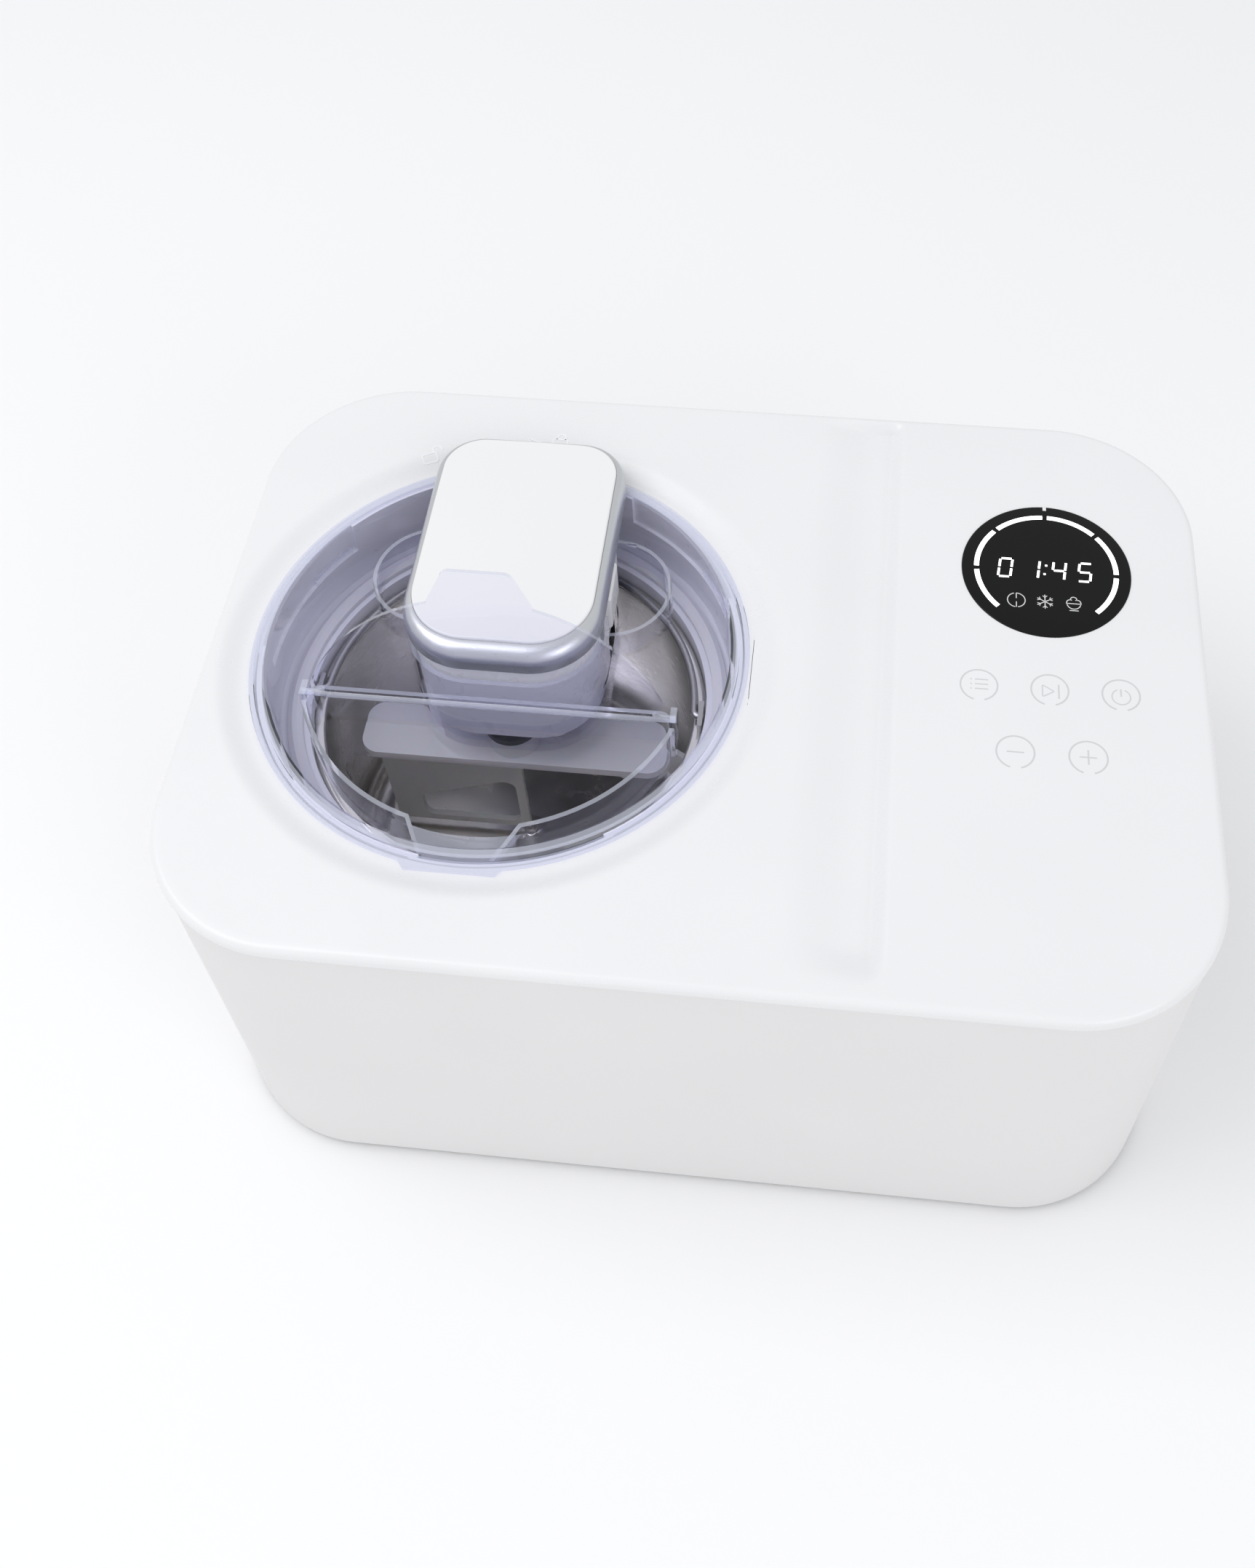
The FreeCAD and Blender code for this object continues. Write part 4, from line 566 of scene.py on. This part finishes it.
def cover_sheets():
    """Upper and lower deck patches, the rounded side band between them and the rim of the lid's hole."""
    line = Outline()
    upper, s_all, circle = deck_patches(0.0)
    lower, _, _ = deck_patches(COVER_T)
    points, out, _ = rounded_outline(line.x, line.y, line.radii, s_all)
    bend = arc((-EDGE_R, DECK_Z - EDGE_R), EDGE_R, 90, 0, 8)
    skirt = [(0.0, SIDE_Z), (-1.4, SIDE_Z), (-EDGE_R, SIDE_Z + 0.2), (-EDGE_R, DECK_Z - COVER_T)]
    band = swept(points, out, np.concatenate([bend, skirt]))
    ledge = DECK_Z - DISH_DEPTH
    under = ledge - COVER_T
    neck = np.array([(DISH_R[0], ledge), (HOLE_R + 0.5, ledge), (HOLE_R, ledge - 0.5), (HOLE_R, under),
                     (DISH_R[0], under)])
    way = (circle - AXIS) / DISH_R[0]
    hole = swept(np.broadcast_to(AXIS, way.shape), way, neck)
    return upper + lower + [(band, True, False), (hole, True, False)]


# ---- figures on the panel ----
KEY_PLACES = [(-27.0, -59.2), (0.0, -59.2), (27.0, -59.2), (-13.5, -88.8), (13.5, -88.8)]
FIGURE_H = 0.05                 # printed figures stand this far above the window
BAR_RING_R = 28.0
BAR_DEGREES = (2.0, 42.0, 46.0)             # start from the middle, length and pitch of a bar
TIME = (("0", -16.4), ("1", -5.4), ("4", 5.1), ("5", 15.5))
COLON = ((0.05, 2.3), (-0.7, -2.2))
MIX_AT = np.array([-12.2, -16.5])
CRYSTAL_AT = np.array([-0.85, -16.4])
CUP_AT = np.array([10.5, -16.5])
LOCK_OPEN = ((-127.9, 98.0), 26.0)          # place on the deck, turn in degrees
LOCK_SHUT = ((-72.6, 110.9), -4.0)
ARROW_R = 110.3
ARROW_DEGREES = (109.4, 94.0)
ARROW_HEAD = [(-86.0, 111.9), (-80.6, 110.3), (-86.0, 108.7)]


def key_strokes(index, lift):
    """The figure of one key, about its own middle."""
    if index == 0:
        rows = [2.6, 0.4, -1.8]
        return [stroke([(-1.5, y), (3.5, y)], 0.5, 0, lift) for y in rows] + \
               [stroke([(-3.3, y), (-2.7, y)], 0.5, 0, lift) for y in rows]
    if index == 1:
        corner = softened([(-2.8, 2.2), (-2.8, -3.4), (1.7, -0.6)], (0.3, 0.3, 0.3))
        return [stroke(corner, 0.45, 0, lift, True), stroke([(3.4, 2.7), (3.4, -3.9)], 0.55, 0, lift)]
    if index == 2:
        return [stroke(arc((0, -0.9), 3.5, 66, -246, 40), 0.45, 0, lift),
                stroke([(0, 2.7), (0, -0.7)], 0.55, 0, lift)]
    if index == 3:
        return [stroke([(-3.2, 0), (3.2, 0)], 0.55, 0, lift)]
    across, down = [(-3.2, 0), (3.2, 0)], [(0, 3.2), (0, -3.2)]
    return [stroke(across, 0.55, 0, lift), stroke(down, 0.55, 0, lift * 1.02)]


def moved(sheet, offset, height):
    """A sheet moved in plan and raised."""
    grid, wrap_rows, wrap_columns = sheet
    return grid + np.array([offset[0], offset[1], height]), wrap_rows, wrap_columns


SEGMENT_ENDS = {"a": ((0, 2), (1, 2)), "b": ((1, 2), (1, 1)), "c": ((1, 1), (1, 0)), "d": ((1, 0), (0, 0)),
                "e": ((0, 0), (0, 1)), "f": ((0, 1), (0, 2)), "g": ((0, 1), (1, 1))}
DIGITS = {"0": "abcdef", "1": "bc", "4": "bcfg", "5": "acdfg"}


def digit(sign, middle, width=4.9, height=9.4, line=0.95, slant=0.12, gap=0.45):
    """Seven-segment figure: each bar joins two corners of a slanted grid, short of both ends."""
    out = []
    for bar in DIGITS[sign]:
        ends = np.array(SEGMENT_ENDS[bar], float) * (width, height / 2) - (width / 2, height / 2)
        ends[:, 0] += ends[:, 1] * slant
        way = (ends[1] - ends[0]) / np.linalg.norm(ends[1] - ends[0])
        ends = ends + np.array([way, -way]) * gap
        out.append(moved(stroke(ends, line, 0, FIGURE_H), middle, 0))
    return out


def display_sheets():
    """Six bars in an arc, the time and its colon."""
    out = []
    first, reach, pitch = BAR_DEGREES
    for side in (1, -1):
        for k in range(3):
            start = 90 + side * (first + pitch * k)
            out.append(stroke(arc((0, 0), BAR_RING_R, start, start + side * reach, 24), 2.0, 0, FIGURE_H))
    for sign, at in TIME:
        out += digit(sign, (at, 0.0))
    for spot in COLON:
        out.append(moved(stroke([(-0.45, 0), (0.45, 0)], 0.9, 0, FIGURE_H), spot, 0))
    return out


def symbol_sheets():
    """Small symbols: a split circle for mixing, a snow crystal and a cup with scoops."""
    high, thin = FIGURE_H, 0.36
    mix = [stroke(arc(MIX_AT, 3.5, 105, 262, 24), thin, 0, high),
           stroke(arc(MIX_AT, 3.5, 90, -80, 24), thin, 0, high),
           stroke([MIX_AT + (0, 3.5), MIX_AT + (0, 0.9)], thin, 0, high * 1.1),
           stroke([MIX_AT + (0, -0.8), MIX_AT + (0, -3.5)], thin, 0, high * 1.1)]
    crystal = []
    for k in range(6):
        turn = math.radians(30 + 60 * k)
        way = np.array([math.cos(turn), math.sin(turn)])
        side = np.array([-way[1], way[0]])
        spoke = [CRYSTAL_AT + way * 0.2, CRYSTAL_AT + way * 3.5]
        crystal.append(stroke(spoke, thin, 0, high * (1 + 0.02 * k)))
        fork = CRYSTAL_AT + way * 2.1
        for sign in (-1, 1):
            tip = fork + way * 0.9 + side * sign * 0.9
            crystal.append(stroke([fork, tip], thin * 0.8, 0, high))
    cup = [stroke(arc(CUP_AT + (0, 2.1), 1.25, -20, 200, 20), thin, 0, high),
           stroke(arc(CUP_AT + (-1.4, 0.5), 1.4, 60, 200, 16), thin, 0, high),
           stroke(arc(CUP_AT + (1.4, 0.5), 1.4, 120, -20, 16), thin, 0, high),
           stroke([CUP_AT + (-3.1, 0), CUP_AT + (3.1, 0)], thin, 0, high),
           stroke(arc(CUP_AT, 2.7, 190, 350, 20), thin, 0, high * 1.05),
           stroke([CUP_AT + (-1.8, -3.5), CUP_AT + (1.8, -3.5)], thin, 0, high)]
    return mix + crystal + cup


def lock_mark(middle, turn, shut):
    """Padlock outline turned to face the lid: a rounded body and a bow above it, or beside it when open."""
    body = softened([(-3.1, -2.2), (3.1, -2.2), (3.1, 1.8), (-3.1, 1.8)], (0.7,) * 4)
    shift = 0.0 if shut else 4.2
    bow = np.concatenate([[(-1.9 + shift, 1.8)], arc((shift, 2.9), 1.9, 180, 0, 14), [(1.9 + shift, 1.8)]])
    angle = math.radians(turn)
    spin = np.array([[math.cos(angle), math.sin(angle)], [-math.sin(angle), math.cos(angle)]])
    return [(body @ spin + np.array(middle), True), (bow @ spin + np.array(middle), False)]


def deck_marks():
    """Raised marks behind the lid: open lock, curved arrow and shut lock, lying on the deck."""
    lines = lock_mark(*LOCK_OPEN, False) + lock_mark(*LOCK_SHUT, True)
    lines.append((arc(AXIS, ARROW_R, *ARROW_DEGREES, 30), False))
    lines.append((softened(ARROW_HEAD, (0.2,) * 3), True))
    return [stroke(path, 0.7, -0.02, 0.14, closed, deck_height) for path, closed in lines]


# ---- motor unit and bowl ----
UNIT_RADII = (20.0, 20.0, 28.0, 28.0)
SHOULDER_R = 7.0
INLAY_IN = (3.5, 6.4)           # the inlay lies this far in at the sides and back, and at the front
INLAY_GAP = 0.15
FRAME_WALL = 2.4
LIP_DEPTH = 1.6
EDGE_ROLL = 0.8
INLAY_BULGE = 0.9


def unit_outline(side, front, count=240):
    """The unit's outline drawn in by one distance at its sides and back and by another at its front."""
    x = (FRAME_LOW[0] + side, FRAME_HIGH[0] - side)
    y = (FRAME_LOW[1] + front, FRAME_HIGH[1] - side)
    radii = np.array(UNIT_RADII) - side
    marks = rounded_outline(x, y, radii, [0.0])[2]
    per_run = count // 8
    s = np.concatenate([np.linspace(a, b, per_run, endpoint=False) for a, b in zip(marks[:-1], marks[1:])])
    points, out, _ = rounded_outline(x, y, radii, s)
    return points, out


def shoulder_rings(z_side, z_top, steps=12):
    """Outlines that move from the outer to the inner one by 1 - cos and rise by sin: a quarter ellipse."""
    outer, _ = unit_outline(0.0, 0.0)
    inner, _ = unit_outline(*INLAY_IN)
    turn = np.linspace(0, np.pi / 2, steps)[None, :, None]
    plan = outer[:, None] + (inner - outer)[:, None] * (1 - np.cos(turn))
    high = np.broadcast_to(z_side + (z_top - z_side) * np.sin(turn), plan.shape[:2] + (1,))
    return np.concatenate([plan, high], 2)


def level_rings(points, heights):
    """The same outline at several heights."""
    return np.stack([np.concatenate([points, np.full((len(points), 1), z)], 1) for z in heights], 1)


def frame_sheets():
    """Satin frame: plain wall, elliptic shoulder that is broader at the front, and a lip down inside it."""
    low, high = FRAME_LOW[2], FRAME_HIGH[2]
    outer, out = unit_outline(0.0, 0.0)
    inner, _ = unit_outline(*INLAY_IN)
    within, _ = unit_outline(FRAME_WALL, FRAME_WALL)
    foot = level_rings(outer - out * 0.3, [low])
    wall = level_rings(outer, [low + 0.3])
    shoulder = shoulder_rings(high - SHOULDER_R, high)
    lip = level_rings(inner, [high - LIP_DEPTH])
    inside = level_rings(within, [high - SHOULDER_R, low])
    return [(np.concatenate([foot, wall, shoulder, lip, inside], 1), True, True)]


def inlay_sheets():
    """Domed inlay: outlines shrunk to the middle, lifted by a parabola, with a rolled edge."""
    side, front = INLAY_IN
    points, out = unit_outline(side + INLAY_GAP, front + INLAY_GAP)
    middle = (points.min(0) + points.max(0)) / 2
    top, low = PANEL_HIGH[2], FRAME_HIGH[2] - LIP_DEPTH - 2 * INLAY_GAP
    share = np.linspace(0.0, 1, 18)[1:]
    roll = arc((-EDGE_ROLL, 0), EDGE_ROLL, 88, 0, 6)
    plan = middle + (points - out * EDGE_ROLL - middle)[:, None] * share[None, :, None]
    half = (points.max(0) - points.min(0)) / 2
    bulge = (((plan - middle) / half) ** 2).sum(-1) * INLAY_BULGE
    crown = np.concatenate([plan, (top - bulge)[..., None]], 2)
    centre = np.broadcast_to(np.append(middle, top), (len(points), 1, 3))
    edge_plan = points[:, None] + out[:, None] * roll[None, :, :1]
    edge = np.concatenate([edge_plan, crown[:, -1:, 2:] - EDGE_ROLL + roll[None, :, 1:]], 2)
    foot = level_rings(points, [low])
    base = np.broadcast_to(np.append(middle, low), (len(points), 1, 3))
    return [(np.concatenate([centre, crown, edge, foot, base], 1), True, False)]


BOWL_R = 77.5
BOWL_LIP_R = 80.8
BOWL_WALL = 1.2
BOWL_CORNER = 14.0
HOOP_R = 76.4
HOOP_BEND = 2.6


def bowl_sheets():
    """Spun bowl: one closed wall section from the middle of the floor out, over the rolled rim and back."""
    bottom, rim = BOWL_LOW[2], BOWL_HIGH[2]
    inner, floor = BOWL_R - BOWL_WALL, bottom + BOWL_WALL
    stub = [(0, floor + 3.0), (1.3, floor + 3.0), (2.3, floor + 0.6), (3.2, floor)]
    level = np.stack([np.linspace(8, inner - BOWL_CORNER, 10), np.full(10, floor)], 1)
    corner = arc((inner - BOWL_CORNER, floor + BOWL_CORNER), BOWL_CORNER, -84, 0, 12)
    wall = np.stack([np.full(8, inner), np.linspace(bottom + 24, rim - 4, 8)], 1)
    roll_in = arc((inner + BOWL_WALL, rim - BOWL_WALL), BOWL_WALL, 180, 90, 6)
    roll_out = arc((BOWL_LIP_R - BOWL_WALL, rim - BOWL_WALL), BOWL_WALL, 90, -90, 8)
    outside = [(BOWL_R, rim - 2.6), (BOWL_R, bottom + 30)]
    heel = arc((BOWL_R - BOWL_CORNER, bottom + BOWL_CORNER), BOWL_CORNER, 0, -90, 12)
    profile = np.concatenate([stub, level, corner, wall, roll_in, roll_out, outside, heel, [(0, bottom)]])
    return [(turned(profile, AXIS, 180), True, False)]


def bail_sheets():
    """Wire bent to a half hoop whose ends turn out sharply through the lugs."""
    low, high = node_box("bail_handle")
    z = (low[2] + high[2]) / 2
    wire = (high[2] - low[2]) / 2
    reach = (high[0] - low[0]) / 2
    back = arc((0, 0), HOOP_R, 2.5, 177.5, 120)
    quarter = arc((HOOP_R + HOOP_BEND, HOOP_BEND), HOOP_BEND, 185, 270, 8)
    end = np.concatenate([[(reach, 0.0)], quarter[::-1]])
    path = np.concatenate([end, back[2:-2], (end * (-1, 1))[::-1]]) + AXIS
    space = np.concatenate([path, np.full((len(path), 1), z)], 1)
    return [(capped(tube(space, wire, 20)), False, True)]


def glass_sheets():
    """Thin disc with a small round on its upper edge."""
    low, high, r = GLASS_LOW[2], GLASS_HIGH[2], DISPLAY_R
    profile = np.concatenate([[(0, high), (r * 0.6, high)], arc((r - 0.4, high - 0.4), 0.4, 90, 0, 5),
                              [(r, low + 0.1), (0, low + 0.1)]])
    return [(turned(profile, DISPLAY, 144), True, False)]


# ---- settings ----
def length(label, note, default):
    """A size in metres, shown in the sidebar."""
    return bpy.props.FloatProperty(name=label, description=note, default=default, unit="LENGTH", precision=4)


def tone(label, note, default):
    """A colour as sRGB hex text, shown in the sidebar."""
    return bpy.props.StringProperty(name=label, description=note, default=default)


class IceMakerTones(bpy.types.PropertyGroup):
    """Base colours of the visible finishes."""

    cover: tone("Cover", "Deck cover, sRGB hex", "#EDEDEE")
    casing: tone("Casing", "Side walls, sRGB hex", "#E6E5E5")
    collar: tone("Neck ring", "Ring under the lid, sRGB hex", "#E9E9EE")
    bowl: tone("Bowl", "Spun steel, sRGB hex", "#E4E2DE")
    clear: tone("Lid", "Clear moulding, sRGB hex", "#FAFAFE")
    silver: tone("Frame", "Satin lacquer, sRGB hex", "#D4D6D8")
    panel: tone("Panel", "Gloss inlay, sRGB hex", "#EEEEEE")
    floor: tone("Floor", "Floor, sRGB hex", "#F7F7F7")


class IceMakerSizes(bpy.types.PropertyGroup):
    """Sizes that can be changed without the frame."""

    key_ring: length("Key ring", "Radius of the printed ring of a key", 0.0071)
    print_height: length("Print height", "Thickness of printed figures", 0.00005)
    floor_radius: length("Floor radius", "Radius of the floor", 6.0)


# ---- operators ----
class ICE_OT_finishes(bpy.types.Operator):
    """Gives every frame node its own finish"""
    bl_idname = "ice.finishes"
    bl_label = "Finishes"

    def execute(self, context):
        FINISH.update(make_finishes(context.scene.ice_tones))
        for name, piece in NODES.items():
            for place_in in piece.material_slots:
                key = place_in.material.name.split(".")[0]
                if key not in FINISH:
                    raise RuntimeError(f"no finish for the slot {key} of {name}")
                place_in.material = FINISH[key]
        return {"FINISHED"}


class ICE_OT_cover(bpy.types.Operator):
    """Builds the deck cover with its dish, trough and rounded edge"""
    bl_idname = "ice.cover"
    bl_label = "Deck cover"

    def execute(self, context):
        build("deck_cover", cover_sheets(), "housing", FINISH["cover_white"], ["top_cover"])
        # Raised marks of the same ABS as the deck, polished by the tool to a higher gloss; their colour a
        # shade lighter than the deck is a painted highlight.
        raised = moulded("abs_raised_mark_painted_highlight", "#F6F6F7", 5.0, 0.25, 0.01)
        build("deck_marks", deck_marks(), "housing", raised)
        return {"FINISHED"}


class ICE_OT_display(bpy.types.Operator):
    """Builds the display window and its lit figures"""
    bl_idname = "ice.display"
    bl_label = "Display"

    def execute(self, context):
        build("display_window", glass_sheets(), "housing", FINISH["display_glass"],
              ["display_glass"])
        top = GLASS_HIGH[2] + 0.005
        # White light-emitting figures and dimmer symbols, shining through the print.
        bright, dim = lit("led_white_figures", "#FFFFFF", 1.6), lit("led_dim_symbols", "#C9C9C9", 0.25)
        figures = [moved(s, DISPLAY, top) for s in display_sheets()]
        build("display_figures", figures, "housing", bright)
        symbols = [moved(s, DISPLAY, top) for s in symbol_sheets()]
        build("display_symbols", symbols, "housing", dim)
        notch = [moved(stroke([(0, 31.9), (0, 33.7)], 1.4, 0, 0.06), DISPLAY, top)]
        build("display_notch", notch, "housing", FINISH["cover_white"])
        return {"FINISHED"}


class ICE_OT_keys(bpy.types.Operator):
    """Prints the five touch keys on the deck"""
    bl_idname = "ice.keys"
    bl_label = "Touch keys"

    def execute(self, context):
        sizes = context.scene.ice_sizes
        lift, ring = sizes.print_height / MM, sizes.key_ring / MM
        # Screen-printed ink: thin, pale grey, a little duller than the deck.
        ink = moulded("screen_ink_light_grey", "#D3D3D4", 2.0, 0.5, 0.005, values={"IOR": 1.45})
        for index, (dx, dy) in enumerate(KEY_PLACES):
            middle = DISPLAY + (dx, dy)
            sheets = [stroke(arc((0, 0), ring, -73, 253, 72), 0.62, 0, lift)] + key_strokes(index, lift)
            sheets = [moved(s, middle, DECK_Z) for s in sheets]
            build(f"key_print_{index + 1}", sheets, "housing", ink)
        return {"FINISHED"}


class ICE_OT_unit(bpy.types.Operator):
    """Builds the motor unit's silver frame and white inlay"""
    bl_idname = "ice.unit"
    bl_label = "Motor unit"

    def execute(self, context):
        build("unit_frame", frame_sheets(), "motor_unit", FINISH["frame_silver"],
              ["motor_frame"])
        build("unit_inlay", inlay_sheets(), "motor_unit", FINISH["panel_white"],
              ["motor_top_panel"])
        return {"FINISHED"}


class ICE_OT_bowl(bpy.types.Operator):
    """Builds the spun bowl and its wire bail"""
    bl_idname = "ice.bowl"
    bl_label = "Bowl and bail"

    def execute(self, context):
        build("spun_bowl", bowl_sheets(), "bowl_set", FINISH["bowl_metal"], ["bowl"])
        build("wire_bail", bail_sheets(), "bowl_set", FINISH["steel"], ["bail_handle"])
        return {"FINISHED"}


# ---- stage, in metres ----
CAMERA_AT = (0.04784, -0.39566, 0.73155)
CAMERA_TURN = (7.755, 50.776, -2.061)      # azimuth, elevation and roll in degrees
CAMERA_LENS = 39.68
CAMERA_SHIFT = (-0.0347, -0.1405)
LAMPS = (("key_softbox", (-0.9, -0.2, 1.6), (0, 0, 0.15), 1.2, 9.0),
         ("fill_softbox", (1.2, -1.3, 1.1), (0, 0, 0.1), 1.0, 5.0))
SKY = (0.97, 0.98, 1.0, 1.0)
SKY_STRENGTH = 0.80
FLOOR_DROP_MM = 0.05            # the feet stand this far above the floor


def look_matrix(azimuth, elevation, roll):
    """Camera axes: its back points at the azimuth and elevation, the other two turn about it by the roll."""
    az, el, ro = np.radians([azimuth, elevation, roll])
    back = np.array([np.sin(az) * np.cos(el), -np.cos(az) * np.cos(el), np.sin(el)])
    right = np.cross(-back, [0, 0, 1.0])
    right /= np.linalg.norm(right)
    up = np.cross(right, -back)
    turned_right = np.cos(ro) * right + np.sin(ro) * up
    turned_up = -np.sin(ro) * right + np.cos(ro) * up
    whole = np.eye(4)
    whole[:3, 0], whole[:3, 1], whole[:3, 2] = turned_right, turned_up, back
    return whole


def soft_lamp(name, at, aim, size, power):
    """Square soft lamp that faces a point."""
    lamp = bpy.data.lights.new(name, "AREA")
    lamp.shape, lamp.size, lamp.energy = "SQUARE", size, power
    thing = bpy.data.objects.new(name, lamp)
    bpy.context.scene.collection.objects.link(thing)
    back = np.array(at, float) - np.array(aim, float)
    azimuth = math.degrees(math.atan2(back[0], -back[1]))
    elevation = math.degrees(math.atan2(back[2], math.hypot(back[0], back[1])))
    whole = look_matrix(azimuth, elevation, 0.0)
    whole[:3, 3] = at
    thing.matrix_world = Matrix(whole.tolist())
    return thing


class ICE_OT_stage(bpy.types.Operator):
    """Sets the floor, the soft studio light and the camera"""
    bl_idname = "ice.stage"
    bl_label = "Stage"

    def execute(self, context):
        scene = context.scene
        tones, sizes = scene.ice_tones, scene.ice_sizes
        rings = np.array([0.001, 0.3, 1.0, 2.5, sizes.floor_radius]) / MM
        circle = arc((0, 0), 1.0, 0, 360, 97)[:-1]
        plan = circle[:, None, :] * rings[None, :, None]
        points = np.concatenate([plan, np.full(plan.shape[:2] + (1,), -FLOOR_DROP_MM)], 2)
        mesh = bpy.data.meshes.new("floor")
        faces = sheet_faces(len(circle), len(rings), 0, True, False)
        mesh.from_pydata(points.reshape(-1, 3) * MM, [], faces.tolist())
        # Matt backdrop paper: even, without a highlight.
        mesh.materials.append(moulded("paper_backdrop", tones.floor, 30.0, 0.8, 0.0, 0.03, tone=0.0))
        floor = bpy.data.objects.new("floor", mesh)
        scene.collection.objects.link(floor)

        world = bpy.data.worlds.new("studio")
        scene.world = world
        world.use_nodes = True
        tree = world.node_tree
        tree.nodes.clear()
        sky = add_node(tree, "ShaderNodeBackground", values={"Color": SKY, "Strength": SKY_STRENGTH})
        add_node(tree, "ShaderNodeOutputWorld", links={"Surface": sky.outputs[0]})
        for lamp in LAMPS:
            soft_lamp(*lamp)
        scene.view_settings.view_transform = "Standard"

        camera = bpy.data.cameras.new("camera")
        camera.lens, camera.sensor_width = CAMERA_LENS, 36.0
        camera.shift_x, camera.shift_y = CAMERA_SHIFT
        camera.clip_start, camera.clip_end = 0.02, 50.0
        thing = bpy.data.objects.new("camera", camera)
        scene.collection.objects.link(thing)
        whole = look_matrix(*CAMERA_TURN)
        whole[:3, 3] = CAMERA_AT
        thing.matrix_world = Matrix(whole.tolist())
        scene.camera = thing
        return {"FINISHED"}


OPERATORS = (ICE_OT_finishes, ICE_OT_cover, ICE_OT_display, ICE_OT_keys, ICE_OT_unit, ICE_OT_bowl,
             ICE_OT_stage)


class ICE_PT_panel(bpy.types.Panel):
    """Sidebar panel with the settings and a button for every step."""
    bl_idname = "ICE_PT_panel"
    bl_label = "Ice Cream Maker"
    bl_space_type = "VIEW_3D"
    bl_region_type = "UI"
    bl_category = "Ice Cream Maker"

    def draw(self, context):
        for group in (context.scene.ice_tones, context.scene.ice_sizes):
            for key in group.__annotations__:
                self.layout.prop(group, key)
        for operator in OPERATORS:
            self.layout.operator(operator.bl_idname)


CLASSES = (IceMakerTones, IceMakerSizes) + OPERATORS + (ICE_PT_panel,)


def register():
    for item in CLASSES:
        bpy.utils.register_class(item)
    bpy.types.Scene.ice_tones = bpy.props.PointerProperty(type=IceMakerTones)
    bpy.types.Scene.ice_sizes = bpy.props.PointerProperty(type=IceMakerSizes)


def unregister():
    del bpy.types.Scene.ice_tones
    del bpy.types.Scene.ice_sizes
    for item in reversed(CLASSES):
        bpy.utils.unregister_class(item)


def main():
    """Registers the add-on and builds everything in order."""
    register()
    for operator in OPERATORS:
        group, name = operator.bl_idname.split(".")
        getattr(getattr(bpy.ops, group), name)()


if __name__ == "__main__":
    main()
